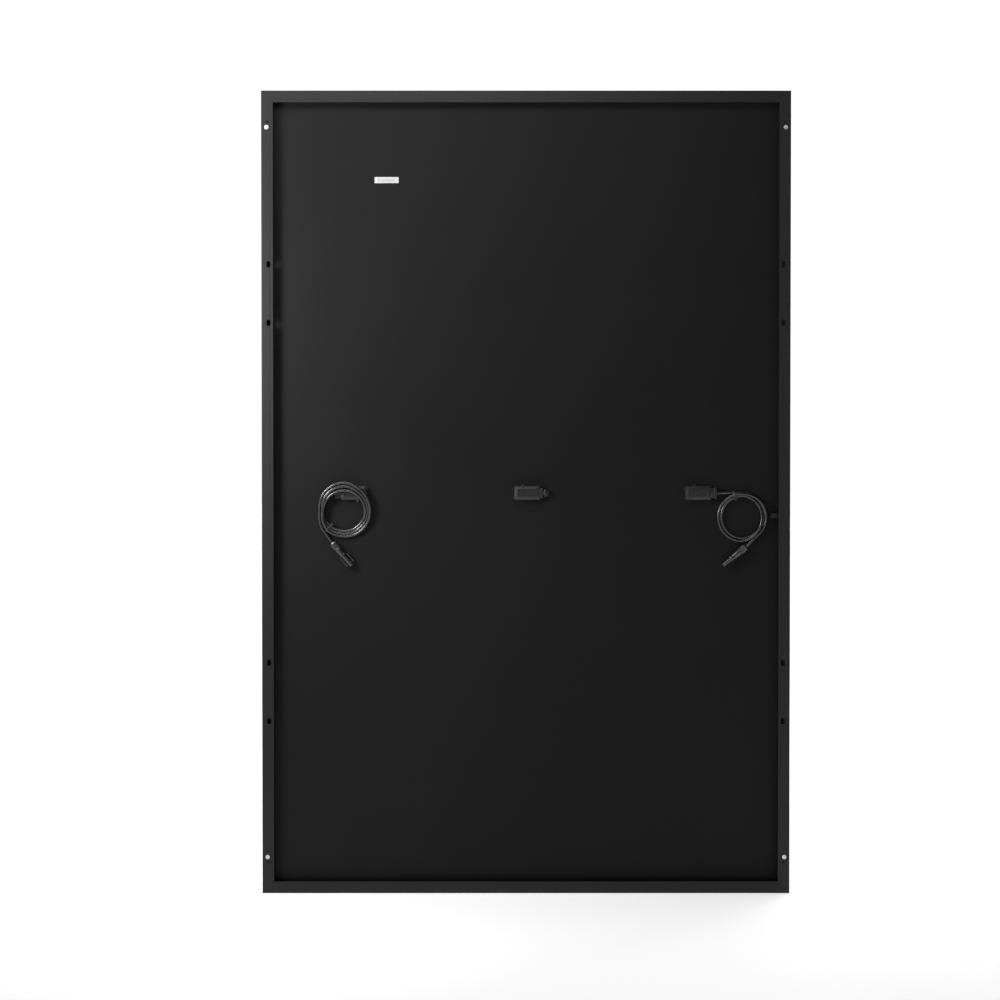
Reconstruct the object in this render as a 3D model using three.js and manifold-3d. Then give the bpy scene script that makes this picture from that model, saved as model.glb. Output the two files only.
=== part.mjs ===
// Framed photovoltaic module, seen from behind: hollow aluminium frame with corner keys, glass laminate with
// half-cut cells, three split junction boxes, two coiled leads with plug connectors, ties and a frame clip.
// Millimetres. The origin is the centre of the mounting plane, which is the outer face of the rear flanges.
// +X is to the right when looking at the back, +Y runs through the module to the glass, +Z is up.
import * as THREE from 'three';
import { mergeVertices } from 'three/addons/utils/BufferGeometryUtils.js';
import Module from 'manifold-3d';

const wasm = await Module();
wasm.setup();

// ---------- driving dimensions ----------

// whole module
const PANEL_LENGTH = 1722;
const PANEL_WIDTH = 1134;
const FRAME_DEPTH = 30;
const CLEARANCE = 0.3; // between pieces that fit together
const BOND_GAP = 0.05; // between layers that are laminated or glued

// frame profile
const FRAME_WALL = 1.6;
const FLANGE_WIDTH = 25;
const FLANGE_THICKNESS = 2;
const FLANGE_STEP_WIDTH = 7.5; // inner band of the flange, set back from the mounting plane
const FLANGE_STEP = 0.5;
const CHAMBER_WIDTH = 9;
const LEDGE_THICKNESS = 1.5;
const LEDGE_REACH = 11;
const LIP_THICKNESS = 1.6;
const LIP_REACH = 10.5;
const EDGE_RADIUS = 1.5;
const MITRE_GAP = 0.2;

// holes in the frame
const SLOT_LENGTH = 14;
const SLOT_WIDTH = 9;
const SLOT_FROM_EDGE = 15.3;
const OUTER_SLOT_SPACING = 980;
const INNER_SLOT_SPACING = 730;
const GROUND_HOLE_DIAMETER = 4.2;
const GROUND_HOLE_FROM_END = 67;
const GROUND_HOLE_FROM_EDGE = 13;
const CRIMP_HOLE_DIAMETER = 5;
const CRIMP_FROM_CORNER = 55;
const KEY_ARM = 72;

// laminate, from the glass backwards
const GLASS_THICKNESS = 3.2;
const ENCAPSULANT_THICKNESS = 0.45;
const CELL_THICKNESS = 0.2;
const BACKSHEET_THICKNESS = 0.35;
const SEAL_FRONT = 0.5;
const SEAL_REAR = 0.5;
const SEAL_SIDE = 2.2;

// cells and ribbons
const CELL_WIDTH = 182;
const CELL_HEIGHT = 91;
const CELL_CHAMFER = 6;
const COLUMN_GAP = 2;
const ROW_GAP = 1.5;
const ROWS_PER_HALF = 9;
const PAIRS = 3; // each bypass diode serves one pair of columns
const MIDDLE_GAP = 14;
const RIBBON_BAND = 150;
const BUS_WIDTH = 5;
const MIDDLE_BUS_WIDTH = 6;
const BUS_SEGMENT_GAP = 3;
const TAIL_WIDTH = 5;
const TAIL_THICKNESS = 0.3;
const TAIL_OFFSET = 12; // each side of the line between the two columns
const TAIL_SLOT = [7, 3];

// label
const LABEL_SIZE = [51.5, 13];
const LABEL_THICKNESS = 0.1;
const LABEL_FROM_SIDE = 267.5;
const LABEL_FROM_TOP = 188.5;

// junction boxes
const BOX_LENGTH = 54.5;
const BOX_WIDTH = 28.5;
const BOX_CORNER = 3;
const BOX_SHIFT = 3; // towards the outlet end
const BOX_WALL = 1.8;
const BOX_FLOOR = 1.2;
const ADHESIVE_THICKNESS = 0.8;
const ADHESIVE_MARGIN = 1;
const BORE_COVER = 0.1; // plastic left over the lead's bore at the base's rim
const LID_HEIGHT = 3.2;
const LID_BEVEL = 5.5;
const LID_RIM = 0.6;
const SKIRT_DEPTH = 2;
const SKIRT_WALL = 1.4;
const TAB_SIZE = [6.5, 5.5, 2];
const TAB_FROM_MIDDLE = 8.8;
const LUG_SIZE = [4, 3, 4];
const LUG_FROM_MIDDLE = 10;
const SHOULDER_LENGTH = 6.3;
const SHOULDER_WIDTH = 22;
const SHOULDER_RISE = 1.3; // above the base's rim
const CAP_LENGTH = 5.6;
const CAP_WIDTH = 25.5;
const CAP_HEIGHT = 10.4;
const OUTLET_HEIGHT = 5.4; // axis of the lead above the backsheet
const PLUG_NECK_DIAMETER = 9.6;
const PLUG_CAP_LENGTH = 9;
const PLUG_CAP_WIDTH = 16.5;
const POTTING_THICKNESS = 0.7;
const DIODE_SIZE = [12, 3.4, 8];
const PLATE_THICKNESS = 0.8;
const PLATE_WIDTH = 8;
const BARREL_RADIUS = 2.1;
const BARREL_LENGTH = 5;

// leads
const LEAD_DIAMETER = 5.8;
const LEAD_SIDES = 10;
const COIL_SLACK = 0.4;
const COIL_SIDES = 40;
// each in its lead's frame, whose origin is on the backsheet below the end of the outlet cap
const RIGHT_COIL = { centre: [55.35, -51.3], outer: 54.5, turns: 2.3, lift: 2, tieAngle: 108 };
const LEFT_COIL = {
  centre: [19.55, -39], outer: 57.5, turns: 3, lift: 0.4, tieAngle: 227, tailAngle: 234.57,
};
const TAIL_TUCK = 0.88; // the left tail starts in against the ring's softened edge
// points along each free stretch: [to the right, height above the backsheet, up]
const RIGHT_OUTLET_ROUTE = [
  [1.55, 5.4, 0], [7.55, 5.4, 0], [14.55, 5.3, 0.2], [21.55, 5.2, 0.4], [28.05, 5.1, 0.4],
];
const RIGHT_TAIL_ROUTE = [[71.55, 6.3, -107.9], [68.55, 7.4, -111], [64.75, 8.6, -114.6]];
const LEFT_OUTLET_ROUTE = [
  [-1.55, 5.4, 0], [-6.55, 5.4, -0.2], [-15.55, 5.2, -4], [-23.05, 4.8, -12], [-26.55, 4.4, -20],
];
const LEFT_TAIL_HEIGHT = 5.9;
const LEFT_TAIL_ROUTE = [[-11.55, 7.2, -96], [-7.15, 8.6, -106]];

// plug connectors, along their own axis from the nut
const NUT_LENGTH = 20;
const NUT_RADIUS = 8;
const NUT_WALL = 1.7;
const NUT_END = 4;
const NUT_CHAMFER = 1.6;
const NUT_FLATS = 12;
const BODY_RADIUS = 8;
const BODY_END = 38;
const COLLAR_RADIUS = 6.4;
const COLLAR_END = 44;
const NOSE_RADIUS = 4.6;
const PLUG_LENGTH = 65;
const CONTACT_BORE = 2.6;
const CONTACT_RADIUS = 2.2;
const MOUTH_RADIUS = 4.9;
const MOUTH_WALL = 1;
const MOUTH_DEPTH = 20;
const PIN_RADIUS = 1.5;
const PIN_SETBACK = 6; // inside the mouth
const CONTACT_SETBACK = 2;
const LATCH_LENGTH = 24;
const LATCH_THICKNESS = 2.2;
const LATCH_WIDTH = 7;
const LATCH_GAP = 1.8;
const LATCH_ROOT = 3;
const LATCH_BARB = { height: 0.8, length: 4, face: 1 };
const AXIS_HEIGHT = 8.7; // above the backsheet
const RIGHT_PLUG = { start: [64.45, -114.8], turn: 141 };
const LEFT_PLUG = { start: [-6.95, -106.3], turn: 48.9 };

// ties and clip
const TIE_WIDTH = 4.5;
const TIE_THICKNESS = 1.2;
const TIE_HEAD = [5, 4, 6];
const CLIP_WIDTH = 10;
const CLIP_THICKNESS = 1;
const CLIP_GRIP = 6;
const CLIP_Z = -49;
const CLIP_REACH = 14;
const CLIP_DROP = 12;
const CLIP_HOOK = 5;

// ---------- sizes that follow from them ----------

const GLASS_FRONT = FRAME_DEPTH - LIP_THICKNESS - SEAL_FRONT;
const GLASS_BACK = GLASS_FRONT - GLASS_THICKNESS;
const FRONT_SHEET_BACK = GLASS_BACK - BOND_GAP - ENCAPSULANT_THICKNESS;
const CELLS_BACK = FRONT_SHEET_BACK - BOND_GAP - CELL_THICKNESS;
const REAR_SHEET_BACK = CELLS_BACK - BOND_GAP - ENCAPSULANT_THICKNESS;
const BACKSHEET_BACK = REAR_SHEET_BACK - BOND_GAP - BACKSHEET_THICKNESS;
const LEDGE_FRONT = BACKSHEET_BACK - SEAL_REAR;
const LEDGE_BACK = LEDGE_FRONT - LEDGE_THICKNESS;
const SLOT_BOTTOM = FRAME_WALL;
const LAMINATE_INSET = SLOT_BOTTOM + SEAL_SIDE;
const LAMINATE_WIDTH = PANEL_WIDTH - 2 * LAMINATE_INSET;
const LAMINATE_LENGTH = PANEL_LENGTH - 2 * LAMINATE_INSET;
const COLUMN_PITCH = CELL_WIDTH + COLUMN_GAP;
const ROW_PITCH = CELL_HEIGHT + ROW_GAP;
const HALF_HEIGHT = ROWS_PER_HALF * ROW_PITCH - ROW_GAP;
const LINE_SPACING = 2 * COLUMN_PITCH; // between the middles of neighbouring column pairs
const BORE_RADIUS = LEAD_DIAMETER / 2 + CLEARANCE;
const BASE_TOP = OUTLET_HEIGHT + BORE_RADIUS + BORE_COVER;
const LID_TOP = BASE_TOP + BOND_GAP + LID_HEIGHT;
const FLOOR_TOP = ADHESIVE_THICKNESS + BOND_GAP + BOX_FLOOR;
const POTTING_TOP = FLOOR_TOP + BOND_GAP + POTTING_THICKNESS;
const PLATE_BOTTOM = POTTING_TOP + BOND_GAP;
const TAIL_TOP = PLATE_BOTTOM + PLATE_THICKNESS + 0.6;
const BOX_END = BOX_LENGTH / 2;
const SHOULDER_END = BOX_END + SHOULDER_LENGTH;
const CAP_START = SHOULDER_END + CLEARANCE;
const CAP_END = CAP_START + CAP_LENGTH;
const PLATE_LENGTH = BOX_END - BOX_WALL - BOX_SHIFT - DIODE_SIZE[0] / 2 - 1.5 * CLEARANCE;
const LEAD_START = BOX_END - BOX_WALL + CLEARANCE;
const SHELL_RADIUS = MOUTH_RADIUS + MOUTH_WALL;

// ---------- materials ----------

const finish = (color, roughness, metalness) => ({ color, roughness, metalness });
const ANODISED = finish(0x2a2b2e, 0.45, 0.7);
const SILICONE = finish(0x111111, 0.6, 0);
const GLASS = finish(0x1c2630, 0.08, 0);
const ENCAPSULANT = finish(0xcfd4d8, 0.3, 0);
const SILICON = finish(0x0a0d16, 0.25, 0.3);
const RIBBON = finish(0x30343a, 0.35, 0.8);
const BLACK_SHEET = finish(0x17181a, 0.55, 0);
const PAPER = finish(0xe8e8e8, 0.7, 0);
const BOX_PLASTIC = finish(0x1f2022, 0.5, 0);
const POTTING = finish(0x3a3b3d, 0.6, 0);
const COPPER = finish(0xb87333, 0.35, 0.9);
const RUBBER = finish(0x131314, 0.5, 0);
const TIE_PLASTIC = finish(0x8d8f91, 0.45, 0);
const STEEL = finish(0x9a9da1, 0.3, 0.9);

// ---------- solid helpers ----------

// one closed skin with shared corners and its faces pointing out
function closed(geometry) {
  const bare = geometry.clone();
  for (const name of Object.keys(bare.attributes)) {
    if (name !== 'position') bare.deleteAttribute(name);
  }
  bare.clearGroups();
  const skin = mergeVertices(bare, 1e-4);
  const at = skin.attributes.position;
  const index = Array.from(skin.index.array);
  const kept = [];
  let volume = 0;
  const [a, b, c] = [new THREE.Vector3(), new THREE.Vector3(), new THREE.Vector3()];
  for (let i = 0; i < index.length; i += 3) {
    const [p, q, r] = index.slice(i, i + 3);
    if (p === q || q === r || r === p) continue;
    kept.push(p, q, r);
    a.fromBufferAttribute(at, p);
    b.fromBufferAttribute(at, q);
    c.fromBufferAttribute(at, r);
    volume += a.dot(b.cross(c));
  }
  if (volume < 0) {
    for (let i = 0; i < kept.length; i += 3) [kept[i], kept[i + 1]] = [kept[i + 1], kept[i]];
  }
  skin.setIndex(kept);
  return skin;
}

function toSolid(geometry) {
  const skin = closed(geometry);
  const vertProperties = new Float32Array(skin.attributes.position.array);
  const triVerts = new Uint32Array(skin.index.array);
  return new wasm.Manifold(new wasm.Mesh({ numProp: 3, vertProperties, triVerts }));
}

function toGeometry(solid) {
  const mesh = solid.getMesh();
  const geometry = new THREE.BufferGeometry();
  geometry.setAttribute('position', new THREE.BufferAttribute(new Float32Array(mesh.vertProperties), 3));
  geometry.setIndex(Array.from(mesh.triVerts));
  return geometry;
}

function join(...geometries) {
  return toGeometry(geometries.map(toSolid).reduce((whole, next) => whole.add(next)));
}

function cut(geometry, ...tools) {
  return toGeometry(tools.map(toSolid).reduce((whole, tool) => whole.subtract(tool), toSolid(geometry)));
}

function common(geometry, tool) {
  return toGeometry(toSolid(geometry).intersect(toSolid(tool)));
}

// a box between two values on each axis
function block(x0, x1, y0, y1, z0, z1) {
  const box = new THREE.BoxGeometry(x1 - x0, y1 - y0, z1 - z0);
  return box.translate((x0 + x1) / 2, (y0 + y1) / 2, (z0 + z1) / 2);
}

// a shape drawn in x and z, as thick as y0 to y1
function plate(shape, y0, y1) {
  const flat = new THREE.ExtrudeGeometry(shape, { depth: y1 - y0, bevelEnabled: false, curveSegments: 4 });
  return flat.rotateX(Math.PI / 2).translate(0, y1, 0);
}

function polygon(points) {
  return new THREE.Shape(points.map(([x, y]) => new THREE.Vector2(x, y)));
}

function roundedRectangle(width, height, radius) {
  const [w, h] = [width / 2, height / 2];
  const shape = new THREE.Shape();
  shape.moveTo(-w + radius, -h);
  shape.lineTo(w - radius, -h);
  shape.absarc(w - radius, -h + radius, radius, -Math.PI / 2, 0);
  shape.lineTo(w, h - radius);
  shape.absarc(w - radius, h - radius, radius, 0, Math.PI / 2);
  shape.lineTo(-w + radius, h);
  shape.absarc(-w + radius, h - radius, radius, Math.PI / 2, Math.PI);
  shape.lineTo(-w, -h + radius);
  shape.absarc(-w + radius, -h + radius, radius, Math.PI, 1.5 * Math.PI);
  return shape;
}

// a cylinder along x, y or z
function rod(axis, radius, from, to, u, v, sides = 24) {
  const cylinder = new THREE.CylinderGeometry(radius, radius, to - from, sides);
  const middle = (from + to) / 2;
  if (axis === 'x') return cylinder.rotateZ(-Math.PI / 2).translate(middle, u, v);
  if (axis === 'z') return cylinder.rotateX(Math.PI / 2).translate(u, v, middle);
  return cylinder.translate(u, middle, v);
}

// a turned body about x; the profile is a closed outline of [radius, distance along x]
function turned(profile, sides = 24) {
  const loop = [...profile, profile[0]].map(([r, s]) => new THREE.Vector2(r, s));
  return new THREE.LatheGeometry(loop, sides).rotateZ(-Math.PI / 2);
}

const module = new THREE.Group();

function add(name, geometry, look, parent = module) {
  const mesh = new THREE.Mesh(closed(geometry), new THREE.MeshStandardMaterial(look));
  mesh.name = name;
  parent.add(mesh);
  return mesh;
}

// ---------- frame ----------

// The profile's section: u runs inwards from the outer face, v runs forwards from the mounting plane.
function sectionOutline(side) {
  const shape = new THREE.Shape();
  const step = FLANGE_WIDTH - FLANGE_STEP_WIDTH;
  const arc = (u, v, from, to) => {
    for (let i = 0; i <= 3; i += 1) {
      const angle = from + ((to - from) * i) / 3;
      shape.lineTo(side * (u + EDGE_RADIUS * Math.cos(angle)), v + EDGE_RADIUS * Math.sin(angle));
    }
  };
  shape.moveTo(side * step, 0);
  for (const [u, v] of [
    [step, FLANGE_STEP], [FLANGE_WIDTH, FLANGE_STEP], [FLANGE_WIDTH, FLANGE_THICKNESS],
    [CHAMBER_WIDTH, FLANGE_THICKNESS], [CHAMBER_WIDTH, LEDGE_BACK], [LEDGE_REACH, LEDGE_BACK],
    [LEDGE_REACH, LEDGE_FRONT], [SLOT_BOTTOM, LEDGE_FRONT], [SLOT_BOTTOM, FRAME_DEPTH - LIP_THICKNESS],
    [LIP_REACH, FRAME_DEPTH - LIP_THICKNESS], [LIP_REACH, FRAME_DEPTH - EDGE_RADIUS / 2],
    [LIP_REACH - EDGE_RADIUS / 2, FRAME_DEPTH],
  ]) shape.lineTo(side * u, v);
  arc(EDGE_RADIUS, FRAME_DEPTH - EDGE_RADIUS, Math.PI / 2, Math.PI);
  arc(EDGE_RADIUS, EDGE_RADIUS, Math.PI, 1.5 * Math.PI);
  const [u0, u1] = [FRAME_WALL, CHAMBER_WIDTH - FRAME_WALL];
  const [v0, v1] = [FRAME_WALL, LEDGE_BACK - BOND_GAP];
  const corners = [[u0, v0], [u1, v0], [u1, v1], [u0, v1]];
  const chamber = side > 0 ? corners : corners.reverse();
  shape.holes.push(new THREE.Path(chamber.map(([u, v]) => new THREE.Vector2(side * u, v))));
  return shape;
}

// the wedge that a profile keeps between its two mitres, drawn along z
function mitreWedge(length, side) {
  const half = length / 2 - MITRE_GAP / 2;
  const reach = FLANGE_WIDTH + 5;
  const outline = polygon([
    [side * -1, -half - 1], [side * reach, -half + reach], [side * reach, half - reach], [side * -1, half + 1],
  ]);
  return plate(outline, -1, FRAME_DEPTH + 1);
}

function mountingSlot(side, z) {
  const slot = roundedRectangle(SLOT_WIDTH, SLOT_LENGTH, SLOT_WIDTH / 2 - 0.01);
  return plate(slot, -1, FLANGE_THICKNESS + 1).translate(side * SLOT_FROM_EDGE, 0, z);
}

function crimpHole(side, z) {
  return rod('x', CRIMP_HOLE_DIAMETER / 2, side > 0 ? -1 : -2.5, side > 0 ? 2.5 : 1, LEDGE_BACK / 2, z, 16);
}

function frameProfile(length, side, slots) {
  const bar = new THREE.ExtrudeGeometry(sectionOutline(side), { depth: length, bevelEnabled: false });
  const mitred = common(bar.translate(0, 0, -length / 2), mitreWedge(length, side));
  const tools = [];
  for (const end of [-1, 1]) {
    tools.push(crimpHole(side, end * (length / 2 - CRIMP_FROM_CORNER)));
    if (!slots) continue;
    tools.push(mountingSlot(side, (end * OUTER_SLOT_SPACING) / 2));
    tools.push(mountingSlot(side, (end * INNER_SLOT_SPACING) / 2));
    const ground = end * (length / 2 - GROUND_HOLE_FROM_END);
    const radius = GROUND_HOLE_DIAMETER / 2;
    tools.push(rod('y', radius, -1, FLANGE_THICKNESS + 1, side * GROUND_HOLE_FROM_EDGE, ground, 16));
  }
  return cut(mitred, ...tools);
}

const frameLeft = add('frame_left', frameProfile(PANEL_LENGTH, 1, true), ANODISED);
frameLeft.position.x = -PANEL_WIDTH / 2;
const frameRight = add('frame_right', frameProfile(PANEL_LENGTH, -1, true), ANODISED);
frameRight.position.x = PANEL_WIDTH / 2;
const frameTop = add('frame_top', frameProfile(PANEL_WIDTH, 1, false), ANODISED);
frameTop.rotation.y = Math.PI / 2;
frameTop.position.z = PANEL_LENGTH / 2;
const frameBottom = add('frame_bottom', frameProfile(PANEL_WIDTH, -1, false), ANODISED);
frameBottom.rotation.y = Math.PI / 2;
frameBottom.position.z = -PANEL_LENGTH / 2;

// an L whose arms fill the hollow chambers of two profiles
function cornerKey(sideX, sideZ) {
  const [near, far] = [FRAME_WALL + CLEARANCE, CHAMBER_WIDTH - FRAME_WALL - CLEARANCE];
  const arms = polygon([
    [near, near], [KEY_ARM, near], [KEY_ARM, far], [far, far], [far, KEY_ARM], [near, KEY_ARM],
  ].map(([x, z]) => [sideX * -x, sideZ * -z]));
  const key = plate(arms, FRAME_WALL + CLEARANCE, LEDGE_BACK - BOND_GAP - CLEARANCE);
  return key.translate((sideX * PANEL_WIDTH) / 2, 0, (sideZ * PANEL_LENGTH) / 2);
}

for (const [row, sideZ] of [['top', 1], ['bottom', -1]]) {
  for (const [column, sideX] of [['left', -1], ['right', 1]]) {
    add(`corner_key_${row}_${column}`, cornerKey(sideX, sideZ), ANODISED);
  }
}

// ---------- laminate ----------

function sheet(width, length, back, thickness) {
  return block(-width / 2, width / 2, back, back + thickness, -length / 2, length / 2);
}

const [boxLineLeft, boxLineRight] = [-LINE_SPACING, LINE_SPACING];
const boxLines = [boxLineLeft, 0, boxLineRight];

// slots for the flat ribbon tails that pass to the junction boxes
function tailSlots(back, front) {
  const [w, h] = [TAIL_SLOT[0] / 2, TAIL_SLOT[1] / 2];
  const places = boxLines.flatMap((x) => [x - TAIL_OFFSET, x + TAIL_OFFSET]);
  return places.map((x) => block(x - w, x + w, back, front, -h, h));
}

const sealOuter = block(
  -LAMINATE_WIDTH / 2 - SEAL_SIDE + BOND_GAP, LAMINATE_WIDTH / 2 + SEAL_SIDE - BOND_GAP,
  LEDGE_FRONT + BOND_GAP, FRAME_DEPTH - LIP_THICKNESS - BOND_GAP,
  -LAMINATE_LENGTH / 2 - SEAL_SIDE + BOND_GAP, LAMINATE_LENGTH / 2 + SEAL_SIDE - BOND_GAP,
);
const sealOpening = sheet(
  PANEL_WIDTH - 2 * LIP_REACH + 1, PANEL_LENGTH - 2 * LIP_REACH + 1, LEDGE_FRONT - 1, FRAME_DEPTH,
);
const laminateRoom = sheet(
  LAMINATE_WIDTH + 2 * BOND_GAP, LAMINATE_LENGTH + 2 * BOND_GAP,
  BACKSHEET_BACK - BOND_GAP, GLASS_FRONT - BACKSHEET_BACK + 2 * BOND_GAP,
);
add('edge_seal', cut(sealOuter, sealOpening, laminateRoom), SILICONE);
add('front_glass', sheet(LAMINATE_WIDTH, LAMINATE_LENGTH, GLASS_BACK, GLASS_THICKNESS), GLASS);
add(
  'front_encapsulant',
  sheet(LAMINATE_WIDTH, LAMINATE_LENGTH, FRONT_SHEET_BACK, ENCAPSULANT_THICKNESS),
  ENCAPSULANT,
);
const rearSheet = sheet(LAMINATE_WIDTH, LAMINATE_LENGTH, REAR_SHEET_BACK, ENCAPSULANT_THICKNESS);
add('rear_encapsulant', cut(rearSheet, ...tailSlots(REAR_SHEET_BACK - 1, CELLS_BACK)), ENCAPSULANT);
const backsheet = sheet(LAMINATE_WIDTH, LAMINATE_LENGTH, BACKSHEET_BACK, BACKSHEET_THICKNESS);
add('backsheet', cut(backsheet, ...tailSlots(BACKSHEET_BACK - 1, REAR_SHEET_BACK)), BLACK_SHEET);

// ---------- cells ----------

// a half-cut cell keeps its two corner chamfers on its outer long edge
function halfCell(x, z, outward) {
  const [w, h, c] = [CELL_WIDTH / 2, CELL_HEIGHT / 2, CELL_CHAMFER];
  const outline = polygon([[-w, -h], [w, -h], [w, h - c], [w - c, h], [-w + c, h], [-w, h - c]]
    .map(([px, pz]) => [px, outward * pz]));
  return plate(outline, CELLS_BACK, CELLS_BACK + CELL_THICKNESS).translate(x, 0, z);
}

function ribbon(x, z0, z1, width = RIBBON_BAND) {
  const [low, high] = [Math.min(z0, z1), Math.max(z0, z1)];
  return block(x - width / 2, x + width / 2, CELLS_BACK, CELLS_BACK + CELL_THICKNESS, low, high);
}

// two columns of nine cells in series, joined across their outer ends by a bus ribbon
function cellLoop(pair, half) {
  const middle = (pair - (PAIRS - 1) / 2) * LINE_SPACING;
  const pieces = [];
  const busStart = MIDDLE_GAP / 2 + HALF_HEIGHT + 2;
  for (const side of [-1, 1]) {
    const x = middle + (side * COLUMN_PITCH) / 2;
    for (let row = 0; row < ROWS_PER_HALF; row += 1) {
      const low = MIDDLE_GAP / 2 + row * ROW_PITCH;
      pieces.push(halfCell(x, half * (low + CELL_HEIGHT / 2), half * (row % 2 ? -1 : 1)));
      const top = row === ROWS_PER_HALF - 1 ? busStart + 1 : low + CELL_HEIGHT + ROW_GAP + 1;
      pieces.push(ribbon(x, half * (low + CELL_HEIGHT - 1), half * top));
    }
    const foot = MIDDLE_BUS_WIDTH / 2 + CLEARANCE;
    pieces.push(ribbon(x, half * foot, half * (MIDDLE_GAP / 2 + 1)));
  }
  const span = 2 * COLUMN_PITCH - COLUMN_PITCH + RIBBON_BAND;
  pieces.push(ribbon(middle, half * busStart, half * (busStart + BUS_WIDTH), span));
  return join(...pieces);
}

for (let pair = 0; pair < PAIRS; pair += 1) {
  add(`cell_loop_${pair + 1}_upper`, cellLoop(pair, 1), SILICON);
  add(`cell_loop_${pair + 1}_lower`, cellLoop(pair, -1), SILICON);
}

// the middle bus: four stretches, each with a flat tail for every junction box that it feeds
function middleBus(x0, x1, tails) {
  const half = MIDDLE_BUS_WIDTH / 2;
  const strip = block(x0, x1, CELLS_BACK, CELLS_BACK + CELL_THICKNESS, -half, half);
  const [w, t] = [TAIL_WIDTH / 2, TAIL_THICKNESS / 2];
  const top = BACKSHEET_BACK - TAIL_TOP;
  return join(strip, ...tails.map((x) => block(x - w, x + w, top, CELLS_BACK + CELL_THICKNESS / 2, -t, t)));
}

const busEnd = (PAIRS * LINE_SPACING - COLUMN_GAP) / 2;
const busStops = [-busEnd, ...boxLines, busEnd];
for (let i = 0; i <= PAIRS; i += 1) {
  const [from, to] = [busStops[i], busStops[i + 1]];
  const [startsAtBox, endsAtBox] = [i > 0, i < PAIRS];
  const x0 = startsAtBox ? from + BUS_SEGMENT_GAP / 2 : from;
  const x1 = endsAtBox ? to - BUS_SEGMENT_GAP / 2 : to;
  const tails = [...(startsAtBox ? [from + TAIL_OFFSET] : []), ...(endsAtBox ? [to - TAIL_OFFSET] : [])];
  add(`middle_bus_${i + 1}`, middleBus(x0, x1, tails), RIBBON);
}

// ---------- label ----------

const label = add('serial_label', new THREE.BoxGeometry(LABEL_SIZE[0], LABEL_THICKNESS, LABEL_SIZE[1]), PAPER);
label.position.set(
  -PANEL_WIDTH / 2 + LABEL_FROM_SIDE, BACKSHEET_BACK - BOND_GAP - LABEL_THICKNESS / 2,
  PANEL_LENGTH / 2 - LABEL_FROM_TOP,
);

// ---------- junction boxes ----------

// In a box's own frame, x runs to its outlet end and height is measured from the backsheet towards the rear.
const raised = (x0, x1, h0, h1, z0, z1) => block(x0, x1, -h1, -h0, z0, z1);

function tailRoom(h0, h1) {
  const [w, h] = [TAIL_SLOT[0] / 2, TAIL_SLOT[1] / 2];
  return [-TAIL_OFFSET, TAIL_OFFSET].map((d) => raised(d - BOX_SHIFT - w, d - BOX_SHIFT + w, h0, h1, -h, h));
}

function adhesivePad() {
  const [length, width] = [BOX_LENGTH + 2 * ADHESIVE_MARGIN, BOX_WIDTH + 2 * ADHESIVE_MARGIN];
  const outline = roundedRectangle(length, width, BOX_CORNER);
  return cut(plate(outline, -ADHESIVE_THICKNESS, -BOND_GAP), ...tailRoom(-1, ADHESIVE_THICKNESS + 1));
}

function boxBase() {
  const bottom = ADHESIVE_THICKNESS + BOND_GAP;
  const outer = plate(roundedRectangle(BOX_LENGTH, BOX_WIDTH, BOX_CORNER), -BASE_TOP, -bottom);
  const inside = roundedRectangle(BOX_LENGTH - 2 * BOX_WALL, BOX_WIDTH - 2 * BOX_WALL, BOX_CORNER - BOX_WALL);
  const room = plate(inside, -BASE_TOP - 1, -FLOOR_TOP);
  const half = SHOULDER_WIDTH / 2;
  const low = raised(BOX_END - 1, SHOULDER_END, bottom, BASE_TOP, -half, half);
  const high = raised(BOX_END + CLEARANCE, SHOULDER_END, bottom, BASE_TOP + SHOULDER_RISE, -half, half);
  const [lx, lz, lh] = LUG_SIZE;
  const lug = raised(
    -BOX_END - lx, -BOX_END + 1, bottom, bottom + lh, LUG_FROM_MIDDLE - lz / 2, LUG_FROM_MIDDLE + lz / 2,
  );
  const bore = rod('x', BORE_RADIUS, BOX_END - BOX_WALL - 1, SHOULDER_END + 1, -OUTLET_HEIGHT, 0);
  return cut(join(outer, low, high, lug), room, bore, ...tailRoom(0, FLOOR_TOP + 1));
}

function boxLid() {
  const under = BASE_TOP + BOND_GAP;
  const top = roundedRectangle(BOX_LENGTH - 2 * LID_BEVEL, BOX_WIDTH - 2 * LID_BEVEL, 1);
  const bevelled = new THREE.ExtrudeGeometry(top, {
    depth: 2 * LID_RIM, bevelThickness: LID_HEIGHT - LID_RIM, bevelSize: LID_BEVEL, bevelSegments: 1,
    curveSegments: 3,
  }).translate(0, 0, -LID_RIM);
  const cover = bevelled.rotateX(Math.PI / 2).translate(0, -under, 0);
  const upper = common(cover, raised(-BOX_END - 1, BOX_END + 1, under, LID_TOP + 1, -BOX_WIDTH, BOX_WIDTH));
  const margin = 2 * (BOX_WALL + CLEARANCE);
  const [length, width] = [BOX_LENGTH - margin, BOX_WIDTH - margin];
  const ring = plate(roundedRectangle(length, width, 1), -under - 0.5, -under + SKIRT_DEPTH);
  const hollow = plate(
    roundedRectangle(length - 2 * SKIRT_WALL, width - 2 * SKIRT_WALL, 0.5), -under, -under + SKIRT_DEPTH + 1,
  );
  const [tx, tz, th] = TAB_SIZE;
  const edge = BOX_WIDTH / 2;
  const tab = raised(
    -TAB_FROM_MIDDLE - tx / 2, -TAB_FROM_MIDDLE + tx / 2, under, under + th, edge - LID_BEVEL, edge + tz,
  );
  return join(upper, cut(ring, hollow), tab);
}

function pottingSlab() {
  const margin = 2 * (BOX_WALL + CLEARANCE);
  const outline = roundedRectangle(BOX_LENGTH - margin, BOX_WIDTH - margin, 1);
  return cut(plate(outline, -POTTING_TOP, -FLOOR_TOP - BOND_GAP), ...tailRoom(0, POTTING_TOP + 1));
}

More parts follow.
